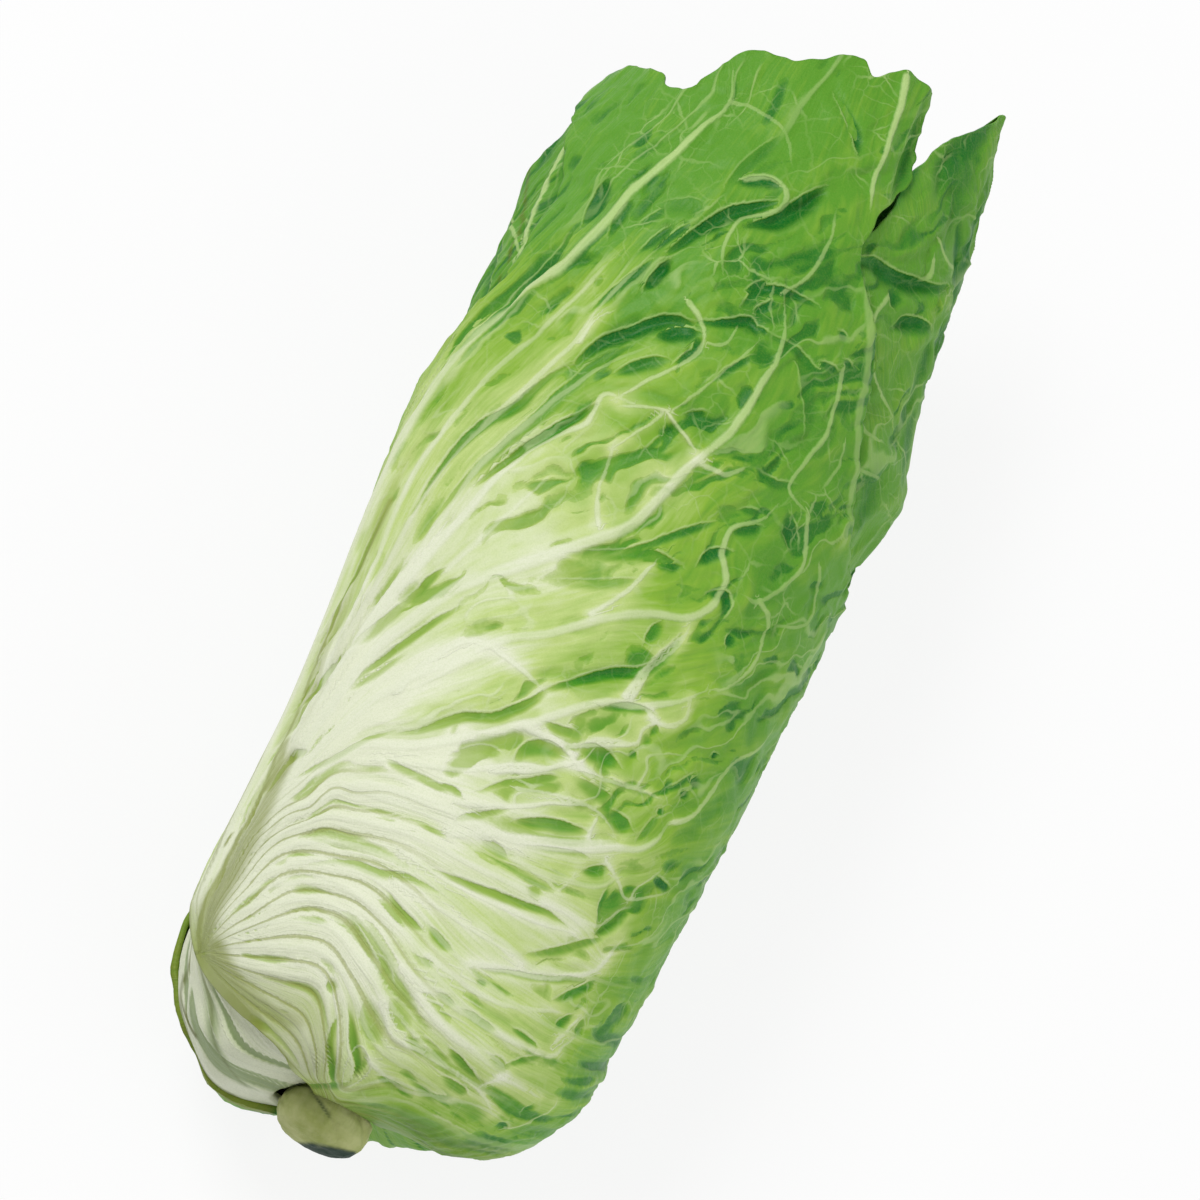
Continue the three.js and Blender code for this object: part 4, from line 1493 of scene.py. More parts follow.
# Every hollow is pressed in and paints shade, the narrow ones with a painted highlight on the lip.
FRONT_HOLLOWS = tuple(hollow(*row) for row in (
    (1.2, 0.9, (102, -67), (108, -63), (114, -60), (119, -58)),
    (1.8, 0.6, (74, -64), (82, -62), (89, -58)),
    (1.0, 0.7, (120, -75), (134, -73), (150, -69), (164, -66)),
    (0.9, 0.7, (80, -53), (83, -49), (88, -42), (95, -35), (100, -29)),
    (0.8, 0.6, (107, -49), (113, -43), (121, -37)),
    (1.3, 0.9, (12, -31), (10, -26), (12, -14), (15, -5), (18, 1)),
)) + (
    Route(((174, -38), (184, -33), (191, -29), (198, -24), (206, -18)), (1.7, 1.7), (1, 1), -1.8),
    Route(((162, -54), (172, -52), (182, -49), (191, -44), (198, -38), (206, -34), (215, -28)),
           (1.3, 1.5), (1, 0.7), -1.4),
    Route(((154, -49), (168, -44), (182, -38), (196, -32), (209, -26), (220, -21), (228, -14)),
           (1.5, 1.7), (0.6, 0.6), -1.0),
    Route(((96, -34), (101, -25), (110, -15), (114, -8), (122, -2), (127, 0)), (1.1, 1.4), (0.6, 1),
           -1.2),
    Route(((127, 0), (133, 6), (140, 13), (145, 21), (153, 24), (159, 25)), (1.4, 1.3), (1, 0.9),
           -1.4),
    Route(((152, 18), (159, 19)), (1.3, 1.2), (0.7, 0.7), -0.7),
    Route(((164, -9), (169, 0), (174, 9), (176, 18)), (1.4, 1.4), (0.6, 0.7), -0.9),
    Route(((155, -11), (160, 0), (166, 9)), (1.0, 1.2), (0.4, 0.6), -0.6),
    Route(((173, 27), (176, 32), (170, 33)), (1.2, 1.2), (0.9, 0.9), -0.8),
    Route(((212, -64), (223, -58), (234, -54), (243, -49), (253, -47)), (2.2, 2.2), (1, 0.8), -2.4),
    Route(((257, -44), (265, -45), (272, -45)), (2.4, 2.0), (0.9, 0.9), -1.6),
    Route(((255, -34), (263, -34), (267, -33)), (1.3, 1.0), (0.8, 0.5), -0.9),
    Route(((243, -18), (253, -16)), (1.5, 1.5), (1, 1), -1.2),
    Route(((253, -24), (263, -20)), (1.0, 1.0), (0.8, 0.7), -0.8),
    Route(((215, -27), (224, -23), (231, -16), (237, -10), (239, -4)), (1.9, 1.6), (0.9, 0.9), -1.6),
    Route(((217, -16), (222, -11), (226, -6)), (1.7, 1.4), (0.8, 0.6), -1.0),
    Route(((231, -11), (235, -6), (237, -2)), (1.8, 1.6), (0.9, 0.9), -1.2),
    Route(((240, -3), (244, 4), (247, 8), (244, 11)), (1.2, 1.2), (1, 0.9), -1.3),
    Route(((249, 5), (256, 7), (260, 13), (261, 22)), (1.3, 1.0), (0.8, 1), -1.1),
    Route(((256, -17), (265, -13), (273, -9), (278, -4), (283, 1)), (2.0, 1.8), (1, 1), -2.0),
    Route(((272, -3), (277, 3), (285, 7), (294, 11)), (1.6, 2.4), (1, 1), -2.0),
    Route(((283, -10), (287, -5), (288, 0)), (1.3, 1.3), (1, 0.9), -1.0),
    Route(((322, 2), (318, 8), (314, 13), (309, 16)), (0.8, 1.0), (0.8, 1), -1.0),
    Route(((281, -12), (291, -10), (302, -6)), (1.6, 1.4), (0.5, 0.4), -0.7),
    Route(((246, 12), (246, 22), (244, 29), (251, 38)), (1.0, 1.0), (0.7, 0.5), -0.7),
    Route(((179, 22), (184, 24), (187, 28)), (1.3, 1.2), (0.8, 0.9), -0.9),
    Route(((335, 31), (324, 33), (314, 34), (304, 32)), (2.6, 2.6), (1, 1), -1.2),
) + tuple(hollow(*row) for row in (
    (1.3, 0.7, (98, -14), (103, -8), (104, -3)),
    (1.8, 0.8, (104, 1), (109, 2), (112, 6), (112, 12)), (1.3, 0.7, (118, 3), (118, 8), (119, 12)),
    (0.9, 0.6, (120, 8), (126, 12), (128, 14)), (1, 0.9, (129, 14), (134, 20), (136, 26)),
    (2, 0.8, (116, 13), (118, 19), (118, 25)), (0.9, 0.7, (124, 26), (123, 28)),
    (1.3, 0.7, (132, 28), (132, 30)), (1, 0.8, (92, -4), (98, 2), (104, 9), (106, 12)),
    (1.8, 0.6, (108, 16), (108, 24), (109, 27)), (2, 0.7, (106, 28), (105, 32), (105, 36)),
    (1.6, 0.9, (89, 7), (93, 14), (97, 25)), (0.9, 0.8, (82, -6), (86, -2), (91, 4)),
    (0.8, 0.8, (88, -16), (89, -10), (88, -7)), (0.6, 0.6, (110, 15), (114, 28), (117, 38)),
    (0.7, 0.6, (84, 11), (89, 21), (92, 29)), (1.3, 0.8, (88, 30), (91, 34), (92, 36)),
    (1, 0.6, (80, 2), (80, 6), (79, 10)), (0.8, 0.8, (88, 39), (84, 40), (80, 42)),
    (0.9, 0.9, (100, 51), (100, 56), (101, 60)),
    (0.8, 0.9, (67, -6), (68, 4), (70, 16), (72, 24), (72, 33)),
    (1.1, 1, (76, 43), (81, 46), (88, 50)), (1, 0.8, (60, 27), (65, 34), (71, 40), (76, 45)),
    (0.8, 0.8, (49, 17), (54, 28), (60, 40), (66, 51)), (1.1, 0.6, (75, 18), (76, 22)),
    (1.2, 0.9, (126, 48), (129, 48)), (1, 0.8, (122, 46), (124, 47)),
    (0.8, 1, (137, 49), (138, 50)), (0.8, 0.8, (114, 42), (116, 42)),
    (1, 0.9, (164, 38), (168, 38)), (1, 0.5, (104, 40), (109, 41), (114, 42)),
    (4, 0.35, (164, 56), (154, 57), (146, 60)), (0.6, 0.7, (120, 40), (124, 43), (129, 46)),
    (0.9, 0.8, (56, -12), (52, -7), (50, -1)), (1.1, 0.8, (52, 0), (50, 4), (49, 8)),
    (1.1, 0.8, (41, -10), (40, -6), (38, -2)), (0.8, 0.7, (44, 0), (44, 4), (44, 6)),
    (0.9, 0.7, (40, 10), (40, 16)), (1, 0.7, (40, 18), (40, 24), (40, 29)),
    (0.6, 0.8, (46, 18), (46, 21)), (2.4, 0.7, (36, 0), (34, 4), (32, 9)),
    (2.4, 0.7, (34, -6), (30, -2), (28, 4)), (0.9, 1, (33, 21), (32, 28), (31, 36)),
    (1, 0.9, (22, 9), (22, 14), (22, 20)), (1.1, 0.7, (24, 20), (24, 30), (26, 35)),
    (1.1, 0.8, (28, 26), (28, 33), (28, 37)), (1, 0.6, (36, 32), (36, 36), (35, 40)),
    (0.6, 0.8, (42, 33), (42, 38), (42, 44)), (1, 0.8, (54, 41), (61, 48), (66, 52)),
    (1, 0.8, (48, 46), (54, 50)), (1, 0.7, (50, 54), (56, 56)),
    (0.6, 0.7, (36, 38), (39, 43), (42, 48)), (3.5, 0.5, (24, 34), (26, 44), (25, 54)),
    (1, 0.9, (28, 58), (28, 65)), (0.9, 0.8, (32, 60), (34, 58)),
    (4, 0.45, (18, 22), (18, 38), (18, 54)), (0.9, 1, (29, -12), (24, -11), (20, -7), (16, -4)),
    (0.9, 1, (31, -10), (26, -4), (22, 1), (20, 2)),
    (0.9, 0.7, (56, -36), (60, -26), (60, -17), (62, -10), (62, -2)),
    (1, 0.8, (108, -49), (114, -46), (122, -40), (131, -34), (139, -28)),
    (1.4, 1, (104, -71), (108, -66), (112, -63), (116, -60)),
    (1.5, 0.8, (84, -62), (87, -60), (88, -54)), (0.8, 0.7, (90, -28), (89, -24), (89, -18)),
    (1.6, 0.6, (120, -56), (126, -50), (132, -46), (138, -43)),
    (1.2, 0.8, (134, -46), (140, -42), (144, -40), (148, -37)), (1.2, 0.8, (34, -18), (32, -16)),
    (1.2, 0.7, (231, -29), (241, -24), (251, -20)), (0.6, 0.8, (254, -21), (266, -16)),
    (2.4, 0.5, (268, -26), (270, -20), (273, -16)), (1, 0.6, (260, -28), (268, -24)),
    (1, 0.8, (236, -2), (232, -1), (226, -4)), (0.9, 0.8, (254, 4), (260, 8)),
    (1, 0.9, (250, 8), (256, 12)), (0.6, 0.8, (247, 10), (246, 13)),
    (0.7, 0.7, (226, 6), (232, 9), (238, 12)), (1, 0.7, (214, 3), (217, 8)),
    (1.2, 0.9, (210, 0), (208, 2)), (0.7, 0.6, (198, -2), (208, 1)),
    (1.8, 0.5, (248, 20), (242, 26), (234, 32), (227, 34)),
    (2.2, 0.4, (182, 6), (191, 9), (198, 11), (202, 16)),
    (0.8, 0.7, (168, -2), (176, 8), (186, 16), (192, 21)),
    (1.9, 0.8, (206, 38), (202, 42), (200, 45)), (0.8, 0.6, (199, 26), (201, 31)),
    (1, 0.7, (192, 27), (198, 33)), (0.9, 0.7, (172, 12), (176, 18)),
    (0.8, 0.8, (258, 30), (258, 33)), (0.9, 0.8, (247, 28), (248, 34)),
    (0.9, 0.8, (252, 34), (252, 38)), (1, 0.6, (211, 25), (211, 31), (214, 36)),
    (1, 0.4, (207, 12), (213, 19)),
))


@dataclass
class FrontLeaf(Leaf):
    """The outermost leaf. Its veins fan out from a rib that runs up the head's left side."""

    fan: tuple[Route, ...] = FRONT_FAN
    laterals: tuple[Route, ...] = FRONT_LATERALS
    branches: tuple[Route, ...] = FRONT_BRANCHES
    hollows: tuple[Route, ...] = FRONT_HOLLOWS
    numbers: tuple[float, ...] = (
        0.0, 1.0, 2.0, 3.0, 4.0, 5.0, 6.0, 7.0, 8.0, 9.0, 10.2, 11.4, 12.6, 13.5, 14.3, 15.0, 16.0,
    )
    beyond: tuple[Profile, ...] = (
        ((18, -8), (12, -2)), ((28, 62), (32, 80)), ((36, 75),), ((44, 80),), ((52, 82),),
        ((62, 86),), ((84, 86),), ((88, 72), (100, 86)), ((108, 58), (120, 80)),
        ((132, 64), (148, 84)), ((168, 56), (182, 76)), ((228, 44), (250, 42)),
        ((282, 18), (300, 14), (325, 10)), ((250, -4), (275, -3), (300, -2)),
        ((280, -14), (310, -12)), ((275, -24), (312, -20)), ((322, -29),),
    )
    outside: tuple[tuple[float, Profile], ...] = (
        (-1.5, ((30, -62), (28, -50), (28, -36), (27, -24), (22, -14))),
        (-3.0, ((28, -60), (25, -50), (23, -38), (21, -28), (16, -18))),
        (19.0, ((50, -84), (60, -90), (120, -104), (180, -96), (240, -72), (300, -60))),
    )
    root: Span = (34.0, -68.0)
    ray_reach: float = 34.0
    line_spacing: float = 9.0
    blanch_centre: Span = (83.0, -38.0)
    blanch_size: Span = (182.0, 122.0)
    blanch_lean: float = 23.0
    bright: tuple[tuple[float, float, float, float, float], ...] = (
        (162, -10, 13, 12, 0.2), (197, 2, 14, 12, 0.2), (70, 34, 20, 18, 0.18),
        (137, 0, 11, 12, -0.12), (300, -30, 16, 24, -0.12), (256, -62, 14, 10, -0.15),
    )
    shoulder: Profile = (
        (29, 66), (42, 58), (66, 53), (86, 48), (106, 48), (132, 58), (160, 66),
    )

    def rays(
        self, guides: list[tuple[float, Profile]], root: Array, plane: Array, form: HeadForm
    ) -> list[tuple[float, float]]:
        """How the veins leave the fan's root.

        Args:
            guides: the veins with their numbers.
            root: the point that they leave.
            plane: the skin's two directions there.
            form: the head's form.

        Returns:
            The angle at which each vein leaves, with its number.
        """
        result = []
        for number, points in guides:
            line = Route(points).line(form) - root
            away = np.sqrt((line**2).sum(axis=1))
            place = line[np.argmin(np.abs(away - self.ray_reach))]
            result.append((math.atan2(place @ plane[:, 1], place @ plane[:, 0]), number))
        return result

    def flow_from_fan(self, b: Blade, form: HeadForm) -> Array:
        """Lays coordinates that follow the fan of veins, and returns the veins' numbers."""
        guides = list(self.outside)
        for number, route, more in zip(self.numbers, self.fan + self.laterals, self.beyond):
            guides.append((number, route.points + more))
        sweep = Sweep(tuple(guides))
        number = sweep.numbers(b.reach, b.turn)
        climb = sweep.numbers(b.reach + 1.0, b.turn) - number
        round_ = (sweep.numbers(b.reach, b.turn + 1.0) - number) / np.maximum(b.girth, 0.3)
        crowded = 1.0 / (self.line_spacing * np.hypot(climb, round_) + 1e-3)
        b.loose = smoothstep(crowded, 1.3, 2.3)
        up, round_to = self.root
        root = np.argmin((b.reach - up) ** 2 + (b.turn - round_to) ** 2)
        steps = np.array([(up, round_to), (up + 1.0, round_to), (up, round_to + 1.0)])
        start, ahead, aside = form.surface(steps[:, 0], steps[:, 1], np.zeros(3))
        plane = np.stack([aside - start, ahead - start], axis=1)
        offset = b.rest - b.rest[root]
        out = np.sqrt((offset**2).sum(axis=1))
        lean = np.arctan2(offset @ plane[:, 1], offset @ plane[:, 0])
        rays = sorted(self.rays(guides, b.rest[root], plane, form))
        spread = np.interp(lean, [ray[0] for ray in rays], [ray[1] for ray in rays])
        share = smoothstep(out, 20, 48)
        number = spread * (1 - share) + number * share
        b.flow = np.column_stack([out, self.line_spacing * number])
        return number

    def whiten(self, b: Blade) -> None:
        """Blanches the leaf round the root of its fan."""
        lean = math.radians(self.blanch_lean)
        up = b.reach - self.blanch_centre[0]
        beside = b.turn * b.girth - self.blanch_centre[1]
        long = (up * math.cos(lean) - beside * math.sin(lean)) / self.blanch_size[0]
        wide = (beside * math.cos(lean) + up * math.sin(lean)) / self.blanch_size[1]
        fall = np.sqrt(long**2 + wide**2) ** 0.68
        patch = 0.06 * noise(b.reach / 28, b.turn / 26, self.seed + 41, 2)
        streak = 0.13 * b.calm * noise(b.flow[:, 0] / 36, b.flow[:, 1] / 5.0, self.seed + 42, 3)
        past = smoothstep(b.turn - profile_at(self.shoulder, b.reach), -2, 6)
        plain = 0.06 * past * (1 - smoothstep(b.reach, 125, 165))
        panel = 0.6 * bell(b.reach - 42, 13) * bell(b.turn + 36, 28)
        bottom = 0.55 * (1 - smoothstep(b.reach, 11, 27)) * smoothstep(b.turn, 2, 26)
        lobe = 0.35 * bell(b.reach - 21, 5) * bell(b.turn + 19, 9)
        for reach, turn, long, wide, gain in self.bright:
            patch = patch + gain * bell(b.reach - reach, long) * bell(b.turn - turn, wide)
        white = 1.24 - 1.15 * fall + patch + streak - plain + panel - bottom + lobe
        b.blanch = np.clip(white, 0.0, 1.0)

    def dress(self, b: Blade, form: HeadForm) -> None:
        """Lays the fan of veins and everything between them."""
        number = self.flow_from_fan(b, form)
        b.calm = smoothstep(b.flow[:, 0], 12, 30) * smoothstep(b.turn, -92, -72)
        self.whiten(b)
        for route in self.fan:
            b.raise_rib(Route(route.points, (1.1, 0.9), (0.5, 0.35), 0.35), form)
        for route in self.laterals + self.branches:
            distance = b.raise_rib(route, form)
            halo = bell(distance, 2.6 * route.width[0]) * smoothstep(b.blanch, 0.0, 0.4)
            b.blanch = np.minimum(1.0, b.blanch + 0.27 * route.strength[0] * halo)
        self.fan_lines(b, number, form)
        self.groove(b, number)
        self.crumple(b)
        for route in self.hollows:
            b.press_hollow(route, form)
        past = (b.turn - 29.0) * b.girth
        strip = smoothstep(past, 0.0, 5.0) * smoothstep(b.reach, 290, 300)
        b.relief = b.relief - 2.0 * strip

    def fan_lines(self, b: Blade, number: Array, form: HeadForm) -> None:
        """Draws the close lines of the fan's root, olive where they leave the margin, with painted
        shade along them further out.
        """
        out = b.flow[:, 0]
        near = (1 - smoothstep(number, 9.0, 11.5)) * (1 - smoothstep(out, 48, 84))
        near = near * smoothstep(out, 3, 12)
        uneven = noise(out / 20, number / 1.5, self.seed + 61)
        b.fan = np.column_stack([number + 0.14 * uneven, near])
        between = np.abs(np.mod(number + 0.14 * uneven, 1.0) - 0.5)
        line = bell(between, 0.16 + 0.05 * uneven) * near
        b.relief = b.relief - 0.3 * line * smoothstep(out, 14, 26)
        rooted = 1 - smoothstep(out, 3, 16)
        lower = 1 - smoothstep(number, -1.0, 0.4)
        # Painted shade in the grooves of the lines.
        b.hollow = np.maximum(b.hollow, 0.3 * line * smoothstep(out, 30, 70))
        tint = np.maximum(0.6 * rooted, 0.4 * lower + 0.2 * lower * line)
        left = bell(number - 16.5, 2.2) * (1 - smoothstep(b.reach, 90, 250))
        streak = smoothstep(noise(out / 40, number * 2.4, self.seed + 62, 2), -0.1, 0.5)
        tint = np.maximum(tint * (1 - smoothstep(b.reach, 60, 85)), 0.5 * left * streak)
        b.stain = np.clip(tint * (1 + 0.35 * uneven), 0, 1)
        margin = (b.turn - profile_at(self.outline.low, b.reach)) * b.girth
        b.stain = np.maximum(b.stain, 0.8 * bell(margin, 2.0) * (1 - smoothstep(b.reach, 40, 60)))
        for route in self.stains:
            b.soil(route, form)

    def groove(self, b: Blade, number: Array) -> None:
        """Cuts the narrow grooves that run beside the veins of the fan, and paints shade in them."""
        out = b.flow[:, 0]
        broken = noise(out / 17, number * 2.1, self.seed + 51, 2)
        inside = (1 - smoothstep(b.reach, 235, 275)) * smoothstep(out, 40, 80)
        groove = smoothstep(broken, 0.28, 0.5) * inside * b.calm
        groove = groove * (1 - 0.9 * smoothstep(b.veined, 0.15, 0.6))
        ridge = smoothstep(-broken, 0.25, 0.65) * inside
        b.hollow = np.maximum(b.hollow, 0.3 * groove)
        b.relief = b.relief - 0.35 * groove + 0.25 * ridge * b.calm


@dataclass
class InnerLeaf(Leaf):
    """A folded inner leaf."""

    @classmethod
    def in_spiral(cls, index: int, count: int, covering: list[Outline]) -> "InnerLeaf":
        """Makes one leaf of the spiral.

        Args:
            index: its number, from the outermost inwards.
            count: how many there are.
            covering: the wrapper leaves outside it.

        Returns:
            The leaf.
        """
        share = index / (count - 1)
        first_turn, turn_step = -148, 137.5
        middle = first_turn + turn_step * index
        base, wrap = 44 + 12 * share, 104 + 36 * share
        top = 316 - 22 * share + 7 * math.sin(2.4 * index)

        def margin(side: int) -> Profile:
            """One margin of the leaf, on the side given by its sign."""
            return (
                (7, middle + side * base), (30, middle + side * (base + 0.55 * (wrap - base))),
                (85, middle + side * wrap), (215, middle + side * wrap),
                (270, middle + side * wrap * 0.92), (320, middle + side * wrap * 0.8),
            )

        tip = (
            (0, top - 34), (0.2, top - 12), (0.42, top), (0.58, top - 2), (0.8, top - 5),
            (1, top - 38),
        )
        return cls(
            name=f"folded_leaf_{index + 1:02d}", node=f"inner_leaf_{index + 1:02d}",
            slot="leaf_pale", outline=Outline(margin(-1), margin(1), tip), covering=covering,
            inner=index, midrib=((7, middle), (320, middle)), columns=84, rows=110,
            seed=400 + 20 * index, blister=0.45, frill=2.2, blanch_reach=(90.0, 300.0),
            blanch_least=0.12 + 0.3 * share, dark_tip=max(0.0, 0.95 - 1.6 * share),
        )


@dataclass(frozen=True)
class HeartBud:
    """The closed bud in the middle, with the edges of its small folded leaves."""

    start: float = 9.5
    top: float = 290.0
    shoulder: float = 0.66
    gap: float = 0.8
    rings: int = 120
    sides: int = 96
    folds: int = 5

    def build(
        self, form: HeadForm, nesting: Nesting, skin: bpy.types.Material, inner: int
    ) -> bpy.types.Object:
        """Makes the bud from a ball, whose poles become its two ends.

        Args:
            form: the head's form.
            nesting: how deep the leaves lie.
            skin: the bud's material.
            inner: the number of inner leaves outside it.

        Returns:
            The piece.
        """
        ball = bmesh.new()
        bmesh.ops.create_uvsphere(ball, u_segments=self.sides, v_segments=self.rings, radius=1.0)
        mesh = bpy.data.meshes.new("heart_bud_folds")
        ball.to_mesh(mesh)
        ball.free()
        places = vertex_places(mesh)
        turn = np.degrees(np.arctan2(places[:, 1], places[:, 0]))
        share = 1 - np.arccos(np.clip(places[:, 2], -1, 1)) / math.pi
        pole = np.abs(places[:, 2]) > 1 - 1e-6
        turn[pole] = 0
        reach = self.start + share * (self.top - self.start)
        depth = nesting.depth(WRAPPERS, inner, reach, turn) + self.gap
        spiral = np.mod(self.folds * (turn / 360 + 0.9 * share), 1.0)
        step = smoothstep(spiral, 0.0, 0.93) * (1 - smoothstep(spiral, 0.955, 1.0))
        face = form.surface(reach, turn, depth - 1.6 * step * smoothstep(share, 0.3, 0.6))
        axis = np.column_stack([
            profile_at(form.bend, reach) + form.axis_start[0], face[:, 1],
            np.full(len(reach), form.axis_start[2]),
        ])
        closing = np.maximum(0.0, share - self.shoulder) / (1.0 - self.shoulder)
        opening = np.minimum(1.0, share / 0.03)
        size = np.sqrt(np.clip(1 - closing**2, 0, 1)) * np.sqrt(np.clip(opening, 0, 1))
        size[pole] = 0
        points = axis + (face - axis) * size[:, None]
        shaped_mesh("heart_bud_folds", points, mesh)
        streak = noise(turn / 9, share * 5, 77, 2)
        paint(mesh, "rib", smoothstep(streak, 0.35, 0.7) * (1 - share))
        paint(mesh, "blanch", np.clip(0.95 - 0.45 * share + 0.1 * streak, 0, 1))
        # Painted shade along the edges where the folds step in.
        paint(mesh, "hollow", 0.8 * smoothstep(spiral, 0.94, 0.99))
        paint(mesh, "shade", 0.5 + 0.5 * streak)
        paint(mesh, "vein", np.tile(NO_VEIN, (len(reach), 1)))
        paint(mesh, "vein_gap", np.full(len(reach), NO_VEIN[0]))
        paint(mesh, "fold", np.tile(NO_FOLD, (len(reach), 1)))
        for layer in ("net", "stain", "dip", "dip_edge"):
            paint(mesh, layer, np.zeros(len(reach)))
        paint(mesh, "fan", np.zeros((len(reach), 2)))
        for layer in ("flow", "spread"):
            paint(mesh, layer, np.column_stack([reach, turn * 0.5]) * MM)
        mesh.materials.append(skin)
        return add_piece("heart_bud_folds", mesh, "heart_bud")


@dataclass(frozen=True)
class Stump:
    """The cut root crown: a turned plug, worn uneven, with the scars of shed leaves."""

    radius: float = 13.4
    length: float = 17.0
    sides: int = 96

    def build(self, form: HeadForm, skin: bpy.types.Material) -> bpy.types.Object:
        """Makes the stump by spinning its profile round the head's axis.

        Args:
            form: the head's form.
            skin: the stump's material.

        Returns:
            The piece.
        """
        r = self.radius
        profile = [
            (0.0, 3.6), (0.4 * r, 3.8), (0.68 * r, 4.7), (0.86 * r, 6.4), (0.97 * r, 9.0),
            (r, 12.0), (0.96 * r, 15.0), (0.7 * r, 18.0), (0.0, 20.0),
        ]
        turned = bmesh.new()
        corners = [turned.verts.new((across, along, 0.0)) for across, along in profile]
        edges = [turned.edges.new(pair) for pair in zip(corners, corners[1:])]
        bmesh.ops.subdivide_edges(turned, edges=edges, cuts=5)
        bmesh.ops.spin(
            turned, geom=turned.verts[:] + turned.edges[:], cent=(0, 0, 0), axis=(0, 1, 0),
            dvec=(0, 0, 0), angle=2 * math.pi, steps=self.sides, use_merge=True,
        )
        bmesh.ops.remove_doubles(turned, verts=turned.verts, dist=0.01)
        bmesh.ops.recalc_face_normals(turned, faces=turned.faces)
        mesh = bpy.data.meshes.new("root_crown")
        turned.to_mesh(mesh)
        turned.free()
        places = vertex_places(mesh)
        out = np.hypot(places[:, 0], places[:, 2])
        angle = np.degrees(np.arctan2(places[:, 0], places[:, 2]))
        along = places[:, 1]
        scar = np.abs(np.sin(np.radians(2.5 * angle) + along / 3.2))
        worn = 0.5 * noise(angle / 24 + 20, along / 4, 91, 2) + 0.45 * bell(scar, 0.25)
        grow = 1 - worn / r * smoothstep(out, 0.3 * r, 0.8 * r)
        places[:, 0] *= grow
        places[:, 2] *= grow
        cut = (1 - smoothstep(along, 4.0, 6.0)) * smoothstep(out, 0.0, 3.0)
        places[:, 1] += cut * 0.35 * (1 + noise(places[:, 0] / 3, places[:, 2] / 3, 93, 2))
        points = places + np.array(form.axis_start)
        shaped_mesh("root_crown", points, mesh)
        # facing and under mark the cut end and the side turned away from the key lamp, which get
        # painted shade; blotch and scar are real marks.
        facing = 0.9 * (11.0 - along) / 7.4 + 0.45 * places[:, 0] / r - 0.35 * places[:, 2] / r
        under = smoothstep(facing, 0.66, 0.98)
        blotch = smoothstep(noise(places[:, 0] / 6, along / 5, 95, 2), 0.1, 0.6)
        stain = 0.95 * under + 0.3 * blotch + 0.4 * bell(scar, 0.2) * smoothstep(along, 8, 11)
        paint(mesh, "stain", np.clip(stain, 0, 1))
        mesh.materials.append(skin)
        return add_piece("root_crown", mesh, "stump")


# ---------------------------------------------------------------- studio


@dataclass(frozen=True)
class Lamp:
    """A soft square lamp that points at the head."""

    name: str
    place: tuple[float, float, float]
    size: float
    power: float

    def build(self, target: Vector) -> None:
        """Adds the lamp."""
        light = bpy.data.lights.new(self.name, "AREA")
        light.size = self.size
        light.energy = self.power
        lamp = bpy.data.objects.new(self.name, light)
        lamp.location = self.place
        lamp.rotation_euler = (target - lamp.location).to_track_quat("-Z", "Y").to_euler()
        bpy.context.scene.collection.objects.link(lamp)


@dataclass(frozen=True)
class Studio:
    """A plain white floor, soft light and a camera that looks down on the head."""

    lamps: tuple[Lamp, ...] = (
        Lamp("key_lamp", (-1.0, 0.6, 1.55), 0.8, 21.0),
        Lamp("fill_lamp", (1.5, -0.5, 1.1), 1.6, 12.0),
    )
    sky: float = 0.42
    elevation: float = 72.0
    lean: float = 26.5
    distance: float = 5.0
    view_width: float = 0.3304
    aim_across: float = 4.1
    aim_along: float = 180.3

    def floor(self) -> None:
        """Lays the floor, which the head rests on."""
        flat = bmesh.new()
        bmesh.ops.create_grid(flat, x_segments=1, y_segments=1, size=6.0)
        mesh = bpy.data.meshes.new("floor")
        flat.to_mesh(mesh)
        flat.free()
        mesh.materials.append(FloorFinish().material())
        floor = bpy.data.objects.new("floor", mesh)
        bpy.context.scene.collection.objects.link(floor)

    def world(self) -> None:
        """Sets the soft light from all round."""
        world = bpy.data.worlds.new("studio")
        world.use_nodes = True
        backdrop = world.node_tree.nodes["Background"]
        backdrop.inputs["Color"].default_value = (1.0, 1.0, 1.0, 1.0)
        backdrop.inputs["Strength"].default_value = self.sky
        bpy.context.scene.world = world

    def camera(self, form: HeadForm) -> None:
        """Places the camera: above the stump end, rolled so that the head leans to the right."""
        start = Vector(form.axis_start)
        target = (start + Vector((self.aim_across, self.aim_along, 0.0))) * MM
        up = math.radians(self.elevation)
        lean = math.radians(self.lean)
        back = Vector((0.0, -math.cos(up), math.sin(up)))
        right = Vector((1.0, 0.0, 0.0))
        ahead = back.cross(right)
        side = right * math.cos(lean) + ahead * math.sin(lean)
        top = ahead * math.cos(lean) - right * math.sin(lean)
        data = bpy.data.cameras.new("camera")
        data.sensor_width = 36.0
        data.lens = data.sensor_width * self.distance / self.view_width
        data.clip_end = 50.0
        camera = bpy.data.objects.new("camera", data)
        turned = Matrix((side, top, back)).transposed().to_4x4()
        camera.matrix_world = Matrix.Translation(target + back * self.distance) @ turned
        bpy.context.scene.collection.objects.link(camera)
        bpy.context.scene.camera = camera

    def build(self, form: HeadForm) -> None:
        """Adds the floor, the lights and the camera."""
        self.floor()
        self.world()
        target = (Vector(form.axis_start) + Vector((0.0, self.aim_along, 0.0))) * MM
        for lamp in self.lamps:
            lamp.build(target)
        self.camera(form)
        bpy.context.scene.view_settings.view_transform = "Standard"


